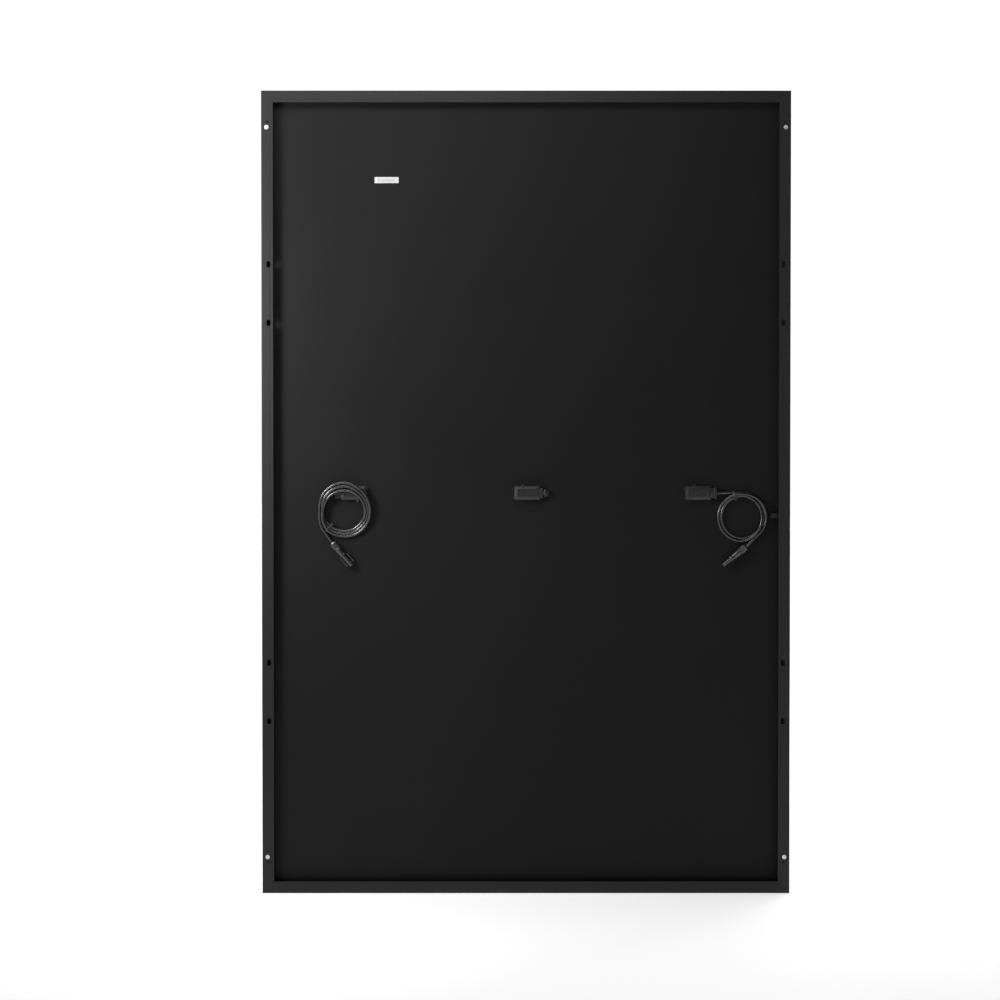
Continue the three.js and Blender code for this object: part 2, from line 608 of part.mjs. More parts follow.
// the bypass diode with its two terminal plates; a box with a lead has a crimp barrel on one of them
function diodeModule(hasLead) {
  const [dx, dh, dz] = DIODE_SIZE;
  const near = TAIL_THICKNESS / 2 + CLEARANCE;
  const top = PLATE_BOTTOM + PLATE_THICKNESS;
  const [x0, x1] = [-dx / 2 - BOX_SHIFT, dx / 2 - BOX_SHIFT];
  const body = raised(x0, x1, PLATE_BOTTOM, PLATE_BOTTOM + dh, near, near + dz);
  const pieces = [body];
  for (const side of [-1, 1]) {
    const [from, to] = [side * (dx / 2 - 1) - BOX_SHIFT, side * (dx / 2 + PLATE_LENGTH) - BOX_SHIFT];
    pieces.push(raised(Math.min(from, to), Math.max(from, to), PLATE_BOTTOM, top, near, near + PLATE_WIDTH));
  }
  if (hasLead) {
    const end = BOX_END - BOX_WALL - CLEARANCE - SKIRT_WALL - 2 * CLEARANCE;
    const start = end - BARREL_LENGTH;
    pieces.push(raised(start, end, PLATE_BOTTOM, top, -BARREL_RADIUS, near + 2));
    pieces.push(raised(start, end, PLATE_BOTTOM, OUTLET_HEIGHT, -1, 1));
    pieces.push(rod('x', BARREL_RADIUS, start, end, -OUTLET_HEIGHT, 0, 16));
  }
  return join(...pieces);
}

// a rounded block across the lead, drawn in height and z and as long as x0 to x1
function endBlock(x0, x1, height, width, radius) {
  const block3 = new THREE.ExtrudeGeometry(roundedRectangle(width, height, radius), {
    depth: x1 - x0, bevelEnabled: false, curveSegments: 4,
  });
  return block3.rotateY(Math.PI / 2).translate(x0, -OUTLET_HEIGHT, 0);
}

function outletCap() {
  const bore = rod('x', BORE_RADIUS, CAP_START - 1, CAP_END + 1, -OUTLET_HEIGHT, 0);
  return cut(endBlock(CAP_START, CAP_END, CAP_HEIGHT, CAP_WIDTH, 3), bore);
}

function blankPlug() {
  const stem = rod('x', BORE_RADIUS - CLEARANCE, LEAD_START, CAP_START + 1, -OUTLET_HEIGHT, 0);
  const neckEnd = CAP_START + CAP_LENGTH / 2;
  const neck = rod('x', PLUG_NECK_DIAMETER / 2, CAP_START, neckEnd, -OUTLET_HEIGHT, 0);
  const cap = endBlock(neckEnd - 0.5, neckEnd + PLUG_CAP_LENGTH, CAP_HEIGHT, PLUG_CAP_WIDTH, 3);
  return join(stem, neck, cap);
}

function junctionBox(name, line, turned180, hasLead) {
  const box = new THREE.Group();
  const facing = turned180 ? -1 : 1;
  box.position.set(line + facing * BOX_SHIFT, BACKSHEET_BACK, 0);
  box.rotation.y = turned180 ? Math.PI : 0;
  module.add(box);
  add(`jbox_${name}_adhesive`, adhesivePad(), SILICONE, box);
  add(`jbox_${name}_base`, boxBase(), BOX_PLASTIC, box);
  add(`jbox_${name}_potting`, pottingSlab(), POTTING, box);
  add(`jbox_${name}_diode`, diodeModule(hasLead), COPPER, box);
  add(`jbox_${name}_lid`, boxLid(), BOX_PLASTIC, box);
  if (hasLead) add(`outlet_cap_${name}`, outletCap(), BOX_PLASTIC, box);
  else add('blank_plug', blankPlug(), BOX_PLASTIC, box);
}

junctionBox('left', boxLineLeft, true, true);
junctionBox('middle', 0, false, false);
junctionBox('right', boxLineRight, false, true);

// ---------- leads ----------

// Each lead's own frame has its origin on the backsheet below the end of its outlet cap.
function leadFrame(line, facing) {
  const frame = new THREE.Group();
  frame.position.set(line + facing * (BOX_SHIFT + CAP_END), BACKSHEET_BACK, 0);
  module.add(frame);
  return frame;
}

function tube(route) {
  const points = route.map(([x, h, z]) => new THREE.Vector3(x, -h, z));
  const curve = new THREE.CatmullRomCurve3(points, false, 'centripetal');
  const section = new THREE.Shape();
  for (let i = 0; i < LEAD_SIDES; i += 1) {
    const angle = (2 * Math.PI * i) / LEAD_SIDES;
    const [x, y] = [(LEAD_DIAMETER / 2) * Math.cos(angle), (LEAD_DIAMETER / 2) * Math.sin(angle)];
    if (i) section.lineTo(x, y);
    else section.moveTo(x, y);
  }
  const steps = Math.max(4, Math.round(curve.getLength() / (1.2 * LEAD_DIAMETER)));
  return new THREE.ExtrudeGeometry(section, { steps, extrudePath: curve, bevelEnabled: false });
}

function coilSize(coil) {
  const { outer, turns } = coil;
  return { outer, inner: outer - turns * LEAD_DIAMETER, thickness: LEAD_DIAMETER + COIL_SLACK };
}

// a flat ring about y with softened edges
function ring({ outer, inner, thickness }) {
  const [t, c] = [thickness / 2, thickness / 4];
  const profile = [
    [inner, -t + c], [inner + c, -t], [outer - c, -t], [outer, -t + c],
    [outer, t - c], [outer - c, t], [inner + c, t], [inner, t - c], [inner, -t + c],
  ];
  return new THREE.LatheGeometry(profile.map(([r, y]) => new THREE.Vector2(r, y)), COIL_SIDES);
}

// a tie round the bundle, in the coil's frame, with its locking head outside
function tie(coil) {
  const { outer, inner, thickness } = coilSize(coil);
  const [x0, x1] = [inner - CLEARANCE, outer + CLEARANCE + 0.2];
  const y = thickness / 2 + CLEARANCE;
  const [w, t] = [TIE_WIDTH / 2, TIE_THICKNESS];
  const band = cut(block(x0 - t, x1 + t, -y - t, y + t, -w, w), block(x0, x1, -y, y, -w - 1, w + 1));
  const [hx, hy, hz] = TIE_HEAD;
  return join(band, block(x0 - t - hx, x0 - t + 0.1, -hy / 2, hy / 2, -hz / 2, hz / 2));
}

function coilGroup(frame, coil, tilt, middleHeight) {
  const group = new THREE.Group();
  group.position.set(coil.centre[0], -middleHeight, coil.centre[1]);
  group.rotation.x = tilt;
  frame.add(group);
  return group;
}

function addTie(name, coil, group) {
  const mesh = add(name, tie(coil), TIE_PLASTIC, group);
  mesh.rotation.y = -THREE.MathUtils.degToRad(coil.tieAngle);
}

const straightStart = (facing) => [
  [facing * (LEAD_START - CAP_END), OUTLET_HEIGHT, 0], [facing * (CAP_START - CAP_END - 2), OUTLET_HEIGHT, 0],
  [facing * -2, OUTLET_HEIGHT, 0],
];

const rightLead = leadFrame(boxLineRight, 1);
add('lead_right_outlet', tube([...straightStart(1), ...RIGHT_OUTLET_ROUTE]), RUBBER, rightLead);
const rightThickness = coilSize(RIGHT_COIL).thickness;
const rightCoil = coilGroup(rightLead, RIGHT_COIL, 0, RIGHT_COIL.lift + rightThickness / 2);
add('lead_right_coil', ring(coilSize(RIGHT_COIL)), RUBBER, rightCoil);
add('lead_right_tail', tube(RIGHT_TAIL_ROUTE), RUBBER, rightLead);
addTie('cable_tie_right', RIGHT_COIL, rightCoil);

// The left coil leans on the lower edge of its junction box's lid and rests its foot near the backsheet.
const leftLead = leadFrame(boxLineLeft, -1);
add('lead_left_outlet', tube([...straightStart(-1), ...LEFT_OUTLET_ROUTE]), RUBBER, leftLead);
const left = coilSize(LEFT_COIL);
const leanSpan = LEFT_COIL.outer - BOX_WIDTH / 2 - LEFT_COIL.centre[1];
const lean = Math.atan((LID_TOP + CLEARANCE - LEFT_COIL.lift) / leanSpan);
const underside = LEFT_COIL.lift + LEFT_COIL.outer * Math.tan(lean);
const leftCoil = coilGroup(leftLead, LEFT_COIL, lean, underside + left.thickness / 2 / Math.cos(lean));
add('lead_left_coil', ring(left), RUBBER, leftCoil);
const tailAt = LEFT_COIL.outer + LEAD_DIAMETER / 2 - TAIL_TUCK;
const tailAngle = THREE.MathUtils.degToRad(LEFT_COIL.tailAngle);
const [coilX, coilZ] = LEFT_COIL.centre;
const [tailX, tailZ] = [coilX + tailAt * Math.cos(tailAngle), coilZ + tailAt * Math.sin(tailAngle)];
const tailStart = [tailX, LEFT_TAIL_HEIGHT, tailZ];
add('lead_left_tail', tube([tailStart, ...LEFT_TAIL_ROUTE]), RUBBER, leftLead);
addTie('cable_tie_left', LEFT_COIL, leftCoil);

// ---------- plug connectors ----------

// the gland nut, turned about the connector's axis, with flats for a spanner
function glandNut() {
  const inner = NUT_RADIUS - NUT_WALL;
  return turned([
    [BORE_RADIUS, 0], [NUT_RADIUS - NUT_CHAMFER, 0], [NUT_RADIUS, NUT_CHAMFER], [NUT_RADIUS, NUT_LENGTH],
    [inner, NUT_LENGTH], [inner, NUT_END], [BORE_RADIUS, NUT_END],
  ], NUT_FLATS);
}

function plugGroup(frame, plug) {
  const group = new THREE.Group();
  group.position.set(plug.start[0], -AXIS_HEIGHT, plug.start[1]);
  group.rotation.y = THREE.MathUtils.degToRad(plug.turn);
  frame.add(group);
  return group;
}

const THREAD_RADIUS = NUT_RADIUS - NUT_WALL - CLEARANCE;
const THREAD_START = NUT_END + CLEARANCE;
const BODY_START = NUT_LENGTH + CLEARANCE;

// the socket half: a body, a collar and a slim nose with the socket contact inside
const rightPlug = plugGroup(rightLead, RIGHT_PLUG);
add('plug_right_nut', glandNut(), BOX_PLASTIC, rightPlug);
add('plug_right_housing', turned([
  [CONTACT_BORE, THREAD_START], [THREAD_RADIUS, THREAD_START], [THREAD_RADIUS, BODY_START],
  [BODY_RADIUS, BODY_START], [BODY_RADIUS, BODY_END - 1], [BODY_RADIUS - 1, BODY_END],
  [COLLAR_RADIUS, BODY_END], [COLLAR_RADIUS, COLLAR_END], [NOSE_RADIUS, COLLAR_END],
  [NOSE_RADIUS, PLUG_LENGTH - 1], [NOSE_RADIUS - 1, PLUG_LENGTH], [CONTACT_BORE, PLUG_LENGTH],
]), BOX_PLASTIC, rightPlug);
add('plug_right_contact', turned([
  [PIN_RADIUS + 0.1, COLLAR_END], [PIN_RADIUS + 0.1, PLUG_LENGTH - CONTACT_SETBACK],
  [CONTACT_RADIUS, PLUG_LENGTH - CONTACT_SETBACK],
  [CONTACT_RADIUS, THREAD_START + CONTACT_SETBACK], [0, THREAD_START + CONTACT_SETBACK], [0, COLLAR_END],
], 16), COPPER, rightPlug);

// the pin half: a body with a round mouth, the pin inside it, and two latch arms beside it
const leftPlug = plugGroup(leftLead, LEFT_PLUG);
const mouthFloor = PLUG_LENGTH - MOUTH_DEPTH;
add('plug_left_nut', glandNut(), BOX_PLASTIC, leftPlug);
add('plug_left_housing', turned([
  [CONTACT_BORE, THREAD_START], [THREAD_RADIUS, THREAD_START], [THREAD_RADIUS, BODY_START],
  [BODY_RADIUS, BODY_START], [BODY_RADIUS, BODY_END - 1], [BODY_RADIUS - 1, BODY_END],
  [SHELL_RADIUS, BODY_END], [SHELL_RADIUS, PLUG_LENGTH], [MOUTH_RADIUS, PLUG_LENGTH],
  [MOUTH_RADIUS, mouthFloor], [CONTACT_BORE, mouthFloor],
]), BOX_PLASTIC, leftPlug);
add('plug_left_contact', turned([
  [0, THREAD_START + CONTACT_SETBACK], [CONTACT_RADIUS, THREAD_START + CONTACT_SETBACK],
  [CONTACT_RADIUS, mouthFloor],
  [PIN_RADIUS, mouthFloor + 1], [PIN_RADIUS, PLUG_LENGTH - PIN_SETBACK], [0, PLUG_LENGTH - PIN_SETBACK + 0.5],
], 16), COPPER, leftPlug);

// each arm springs from the body and carries a barb near its tip
function latchArm(side) {
  const [near, far] = [SHELL_RADIUS + LATCH_GAP, SHELL_RADIUS + LATCH_GAP + LATCH_THICKNESS];
  const root = BODY_END + CLEARANCE;
  const tip = root + LATCH_LENGTH;
  const { height, length, face } = LATCH_BARB;
  const outline = polygon([
    [root, near - 1], [root + LATCH_ROOT, near], [tip, near], [tip, far - height], [tip - length, far + height],
    [tip - length - face, far + height], [tip - length - face, far], [root, far],
  ].map(([x, z]) => [x, side * z]));
  return plate(outline, -LATCH_WIDTH / 2, LATCH_WIDTH / 2);
}
add('plug_left_latch_inner', latchArm(1), BOX_PLASTIC, leftPlug);
add('plug_left_latch_outer', latchArm(-1), BOX_PLASTIC, leftPlug);

// ---------- frame clip ----------

// A sprung clip grips the right flange's inner edge and hangs a hook into the recess beside the coil.
function frameClip() {
  const edge = PANEL_WIDTH / 2 - FLANGE_WIDTH;
  const [near, far] = [FLANGE_STEP - CLEARANCE, FLANGE_THICKNESS + CLEARANCE];
  const t = CLIP_THICKNESS;
  const left = edge - CLEARANCE - t;
  const tip = left - CLIP_REACH;
  const outline = polygon([
    [edge + CLIP_GRIP, near], [edge + CLIP_GRIP, near - t], [left, near - t], [left, far + CLIP_DROP],
    [tip, far + CLIP_DROP], [tip, far + CLIP_DROP - CLIP_HOOK], [tip - t, far + CLIP_DROP - CLIP_HOOK],
    [tip - t, far + CLIP_DROP + t], [left + t, far + CLIP_DROP + t], [left + t, far + t],
    [edge + CLIP_GRIP, far + t], [edge + CLIP_GRIP, far], [left + t, far], [left + t, near],
  ]);
  const clip = new THREE.ExtrudeGeometry(outline, { depth: CLIP_WIDTH, bevelEnabled: false });
  return clip.translate(0, 0, CLIP_Z - CLIP_WIDTH / 2);
}
add('frame_clip', frameClip(), STEEL);

export default module;
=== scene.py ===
"""Framed photovoltaic module seen from behind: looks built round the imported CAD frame. Metres, +Z up."""

import math

import bmesh
import bpy
from mathutils import Matrix, Vector


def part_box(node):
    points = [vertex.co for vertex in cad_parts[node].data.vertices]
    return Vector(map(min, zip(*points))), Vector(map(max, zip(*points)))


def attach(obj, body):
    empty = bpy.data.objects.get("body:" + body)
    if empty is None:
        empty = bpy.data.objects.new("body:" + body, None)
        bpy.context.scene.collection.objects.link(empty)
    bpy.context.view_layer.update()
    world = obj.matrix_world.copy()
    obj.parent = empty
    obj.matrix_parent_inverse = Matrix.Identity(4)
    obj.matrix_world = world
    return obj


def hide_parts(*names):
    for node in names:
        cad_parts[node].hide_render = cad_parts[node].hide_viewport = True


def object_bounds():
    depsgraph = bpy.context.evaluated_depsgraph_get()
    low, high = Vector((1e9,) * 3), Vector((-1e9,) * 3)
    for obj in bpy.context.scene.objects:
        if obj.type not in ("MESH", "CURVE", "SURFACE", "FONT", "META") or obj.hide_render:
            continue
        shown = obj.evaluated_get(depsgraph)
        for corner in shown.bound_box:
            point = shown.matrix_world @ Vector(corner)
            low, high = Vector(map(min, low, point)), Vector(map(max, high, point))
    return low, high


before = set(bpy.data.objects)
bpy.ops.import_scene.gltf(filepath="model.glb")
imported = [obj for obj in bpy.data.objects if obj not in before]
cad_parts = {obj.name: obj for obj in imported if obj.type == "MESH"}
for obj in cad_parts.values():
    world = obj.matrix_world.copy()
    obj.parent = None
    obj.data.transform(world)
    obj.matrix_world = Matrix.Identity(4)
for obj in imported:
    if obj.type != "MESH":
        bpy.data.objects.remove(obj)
cad_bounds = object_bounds()

MM = 0.001
scene = bpy.context.scene

# ---------- places that follow from the CAD ----------
# Millimetres from here on, but for the camera, the floor and the lights. Heights are above the backsheet.

PANEL_LOW, PANEL_HIGH = cad_bounds
HALF_WIDTH = PANEL_HIGH.x / MM
HALF_LENGTH = PANEL_HIGH.z / MM
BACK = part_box("backsheet")[0].y / MM  # rear face of the backsheet
LINE_SPACING = 368.0  # from one box line to the next
BOX_SHIFT = 3.0  # from its line, towards the outlet
BOX_LENGTH = 54.5
BOX_WIDTH = 28.5
BOX_END = BOX_LENGTH / 2
BASE_TOP = 8.7
LID_TOP = 11.95
SHOULDER_END = 33.55
CAP_START = 33.85
CAP_END = 39.45
OUTLET_HEIGHT = 5.4

# ---------- camera ----------

CAMERA_DISTANCE = 5.005
CAMERA_PITCH = math.radians(1.08)
LOOKED_AT = Vector((-0.0558, 0.0, -0.0148))

camera_data = bpy.data.cameras.new("camera")
camera_data.lens = 84
camera_data.sensor_width = 36
camera_data.clip_start = 0.05
camera_data.clip_end = 200
camera = bpy.data.objects.new("camera", camera_data)
scene.collection.objects.link(camera)
towards_camera = Vector((0, -math.cos(CAMERA_PITCH), math.sin(CAMERA_PITCH)))
camera.location = LOOKED_AT + CAMERA_DISTANCE * towards_camera
camera.rotation_euler = (math.pi / 2 - CAMERA_PITCH, 0, 0)
scene.camera = camera

# ---------- materials ----------

NOISE_LOW, NOISE_HIGH = 0.3, 0.7  # the span most noise values fall in
MIX_A, MIX_B, MIX_RESULT = 6, 7, 2  # the mix node's colour sockets


def grey(value, tint=(1, 1, 1)):
    return tuple(value * t for t in tint)


BLACK = grey(0.0)
COOL = (1, 1, 1.03)
COPPER = (1, 0.86, 0.74)


class Look:
    """A Principled material whose colour, roughness and relief come from noise in the object's own space."""

    def __init__(self, name, roughness=0.5, metallic=0.0, specular=0.5, stretch=(1, 1, 1), **constants):
        self.material = bpy.data.materials.new(name)
        self.material.use_nodes = True
        self.tree = self.material.node_tree
        self.shader = self.tree.nodes["Principled BSDF"]
        self.shader.inputs["Roughness"].default_value = roughness
        self.shader.inputs["Metallic"].default_value = metallic
        self.shader.inputs["Specular IOR Level"].default_value = specular
        for socket, value in constants.items():
            self.shader.inputs[socket.replace("_", " ")].default_value = value
        where = self.tree.nodes.new("ShaderNodeTexCoord")
        self.place = self.tree.nodes.new("ShaderNodeMapping")
        self.place.inputs["Scale"].default_value = stretch
        self.link(where.outputs["Object"], self.place.inputs["Vector"])
        self.normal = None

    def link(self, a, b):
        self.tree.links.new(a, b)

    def noise(self, scale, detail=3.0, rough=0.55):
        node = self.tree.nodes.new("ShaderNodeTexNoise")
        node.inputs["Scale"].default_value = scale
        node.inputs["Detail"].default_value = detail
        node.inputs["Roughness"].default_value = rough
        self.link(self.place.outputs["Vector"], node.inputs["Vector"])
        return node.outputs["Fac"]

    def wave(self, scale, direction):
        node = self.tree.nodes.new("ShaderNodeTexWave")
        node.bands_direction = direction
        node.inputs["Scale"].default_value = scale
        node.inputs["Detail"].default_value = 1.0
        self.link(self.place.outputs["Vector"], node.inputs["Vector"])
        return node.outputs["Fac"]

    def ramp(self, value, *stops):
        """Blends between two stops, each a place on the ramp and a colour."""
        node = self.tree.nodes.new("ShaderNodeValToRGB")
        for element, (position, colour) in zip(node.color_ramp.elements, stops):
            element.position = position
            element.color = (*colour, 1)
        self.link(value, node.inputs["Fac"])
        return node.outputs["Color"]

    def blend(self, value, low, high):
        """Two colours, one for a noise's low places and one for its high ones."""
        return self.ramp(value, (NOISE_LOW, low), (NOISE_HIGH, high))

    def peaks(self, value, start, full, amount):
        """A mask of only a noise's peaks."""
        return self.ramp(value, (start, BLACK), (full, grey(amount)))

    def mix(self, mask, base, colour):
        """A plain colour laid over the base where the mask is."""
        node = self.tree.nodes.new("ShaderNodeMix")
        node.data_type = "RGBA"
        self.link(mask, node.inputs["Factor"])
        self.link(base, node.inputs[MIX_A])
        node.inputs[MIX_B].default_value = (*colour, 1)
        return node.outputs[MIX_RESULT]

    def colour(self, socket):
        self.link(socket, self.shader.inputs["Base Color"])
        return self

    def rough(self, value, low, high):
        node = self.tree.nodes.new("ShaderNodeMapRange")
        node.inputs["From Min"].default_value = NOISE_LOW
        node.inputs["From Max"].default_value = NOISE_HIGH
        node.inputs["To Min"].default_value = low
        node.inputs["To Max"].default_value = high
        self.link(value, node.inputs["Value"])
        self.link(node.outputs["Result"], self.shader.inputs["Roughness"])
        return self

    def relief(self, value, depth, strength):
        node = self.tree.nodes.new("ShaderNodeBump")
        node.inputs["Distance"].default_value = depth * MM
        node.inputs["Strength"].default_value = strength
        self.link(value, node.inputs["Height"])
        if self.normal is not None:
            self.link(self.normal, node.inputs["Normal"])
        self.normal = node.outputs["Normal"]
        self.link(self.normal, self.shader.inputs["Normal"])
        return self


def extruded_aluminium(name, stretch):
    """Black anodised aluminium with fine drawing lines along the profile and a little handling wear."""
    look = Look(name, metallic=0.55, specular=0.4, stretch=stretch)
    cloud = look.noise(3.0, 4.0)
    base = look.blend(cloud, grey(0.020), grey(0.027, COOL))
    scuffs = look.peaks(look.noise(55.0, 8.0, 0.7), 0.66, 0.78, 0.5)
    look.colour(look.mix(scuffs, base, grey(0.06)))
    look.rough(look.noise(24.0, 5.0), 0.42, 0.56)
    look.relief(look.noise(900.0, 2.0), 0.02, 0.25)
    return look.material


FRAME_UPRIGHT = extruded_aluminium("frame_upright_anodised", (1, 1, 0.02))
FRAME_LEVEL = extruded_aluminium("frame_level_anodised", (0.02, 1, 1))


def black_film():
    """The backsheet: a dull black film with a fine satin grain and faint waves over the ribbons behind it."""
    look = Look("backsheet_film", specular=0.16)
    cloud = look.noise(1.6, 3.0)
    base = look.blend(cloud, grey(0.0055, COOL), grey(0.0075, COOL))
    specks = look.peaks(look.noise(420.0, 2.0), 0.70, 0.80, 0.6)
    look.colour(look.mix(specks, base, grey(0.018)))
    look.rough(look.noise(9.0, 4.0), 0.53, 0.59)
    look.relief(look.noise(5.0, 2.0), 0.35, 0.06)
    look.relief(look.wave(17.3, "X"), 0.03, 0.12)
    look.relief(look.noise(1500.0, 2.0), 0.02, 0.25)
    return look.material


def moulded(name, low, high, rough_low, rough_high, grain=1400.0, grain_depth=0.03, specular=0.5):
    """Injection-moulded plastic with a sparked grain and slight flow marks."""
    look = Look(name, specular=specular)
    look.colour(look.blend(look.noise(38.0, 4.0), grey(low), grey(high)))
    look.rough(look.noise(120.0, 4.0), rough_low, rough_high)
    look.relief(look.noise(grain, 2.0), grain_depth, 0.35)
    look.relief(look.noise(60.0, 2.0), 0.05, 0.15)
    return look.material


BOX_BLACK = moulded("junction_box_plastic", 0.009, 0.015, 0.32, 0.42)
LID_BLACK = moulded("junction_lid_plastic", 0.010, 0.016, 0.33, 0.43)
PLUG_BLACK = moulded("connector_plastic", 0.012, 0.018, 0.20, 0.28, grain_depth=0.02, specular=1.0)
NUT_BLACK = moulded("gland_nut_plastic", 0.014, 0.020, 0.20, 0.28, grain_depth=0.02, specular=1.0)
TIE_NYLON = moulded("tie_nylon", 0.030, 0.045, 0.22, 0.30, grain_depth=0.01)
POTTING = moulded("potting_compound", 0.045, 0.075, 0.30, 0.45, grain=250.0, grain_depth=0.08)


def cable_jacket():
    """Cross-linked cable jacket: black with a soft shine, faint extrusion streaks and dusty patches."""
    look = Look("cable_jacket", specular=1.0)
    base = look.blend(look.noise(60.0, 4.0), grey(0.010), grey(0.017))
    dust = look.peaks(look.noise(300.0, 5.0, 0.7), 0.62, 0.80, 0.6)
    look.colour(look.mix(dust, base, grey(0.035)))
    look.rough(look.noise(90.0, 4.0), 0.24, 0.33)
    look.relief(look.noise(1100.0, 2.0), 0.02, 0.3)
    look.relief(look.noise(160.0, 2.0), 0.08, 0.15)
    return look.material


def silicone(name, value):
    look = Look(name, specular=0.4)
    look.colour(look.blend(look.noise(80.0, 4.0), grey(value), grey(value * 1.6)))
    look.rough(look.noise(60.0, 3.0), 0.38, 0.52)
    look.relief(look.noise(110.0, 3.0), 0.2, 0.4)
    return look.material


def clear_film():
    """The encapsulant has cured clear, so hardly anything of it shows."""
    look = Look("clear_encapsulant", roughness=0.5, specular=0.0, Alpha=0.01)
    look.colour(look.blend(look.noise(20.0), grey(0.75), grey(0.85)))
    return look.material


def cover_glass():
    """Low-iron tempered glass with a faintly rolled face."""
    look = Look("cover_glass", specular=1.0, IOR=1.5, Alpha=0.28)
    look.colour(look.blend(look.noise(2.0), (0.008, 0.011, 0.012), (0.011, 0.014, 0.015)))
    look.rough(look.noise(1.5, 2.0), 0.015, 0.03)
    look.relief(look.noise(700.0, 2.0), 0.002, 0.05)
    return look.material


def silicon_cell():
    """Monocrystalline cell: near-black blue, slightly uneven from cell to cell, with fine printed fingers."""
    look = Look("silicon_cell", metallic=0.1, specular=0.3)
    uneven = look.noise(7.0, 2.0)
    base = look.blend(uneven, (0.006, 0.009, 0.022), (0.011, 0.016, 0.036))
    fingers = look.peaks(look.wave(240.0, "Z"), 0.90, 0.98, 0.4)
    look.colour(look.mix(fingers, base, (0.035, 0.040, 0.050)))
    look.rough(look.noise(30.0, 3.0), 0.22, 0.34)
    look.relief(look.noise(2400.0, 2.0), 0.01, 0.3)
    return look.material


def metal(name, low, high, rough_low, rough_high, tint=(1, 1, 1)):
    look = Look(name, metallic=1.0)
    look.colour(look.blend(look.noise(160.0, 5.0), grey(low, tint), grey(high, tint)))
    look.rough(look.noise(300.0, 4.0), rough_low, rough_high)
    look.relief(look.noise(1300.0, 3.0), 0.01, 0.3)
    return look.material


RIBBON_WIRE = metal("tinned_ribbon", 0.36, 0.50, 0.30, 0.45)
BUS_DARK = metal("darkened_bus", 0.035, 0.06, 0.35, 0.5)
TINNED_COPPER = metal("tinned_copper", 0.55, 0.72, 0.22, 0.35, COPPER)
SPRING_STEEL = metal("spring_steel", 0.035, 0.065, 0.30, 0.42)
BARE_ALUMINIUM = metal("bare_aluminium", 0.60, 0.80, 0.35, 0.55)
KEY_ALUMINIUM = metal("key_aluminium", 0.45, 0.6, 0.35, 0.5)
SEAL_BLACK = silicone("edge_silicone", 0.010)
PAD_BLACK = silicone("box_adhesive", 0.016)
JACKET = cable_jacket()
FILM = black_film()
CLEAR = clear_film()
GLASS = cover_glass()
CELL = silicon_cell()


def label_paper():
    look = Look("label_paper", specular=0.35)
    look.colour(look.blend(look.noise(250.0, 4.0), grey(0.50), grey(0.56)))
    look.rough(look.noise(90.0), 0.45, 0.6)
    look.relief(look.noise(1800.0, 2.0), 0.01, 0.3)
    return look.material


def label_ink():
    look = Look("label_ink", specular=0.3)
    look.colour(look.blend(look.noise(900.0, 3.0), grey(0.20), grey(0.27)))
    look.rough(look.noise(90.0), 0.5, 0.65)
    return look.material


PAPER = label_paper()
INK = label_ink()

# ---------- mesh building ----------


def shade(mesh, angle):
    for polygon in mesh.polygons:
        polygon.use_smooth = True
    mesh.set_sharp_from_angle(angle=math.radians(angle))


LEAST_CORNER = 0.05


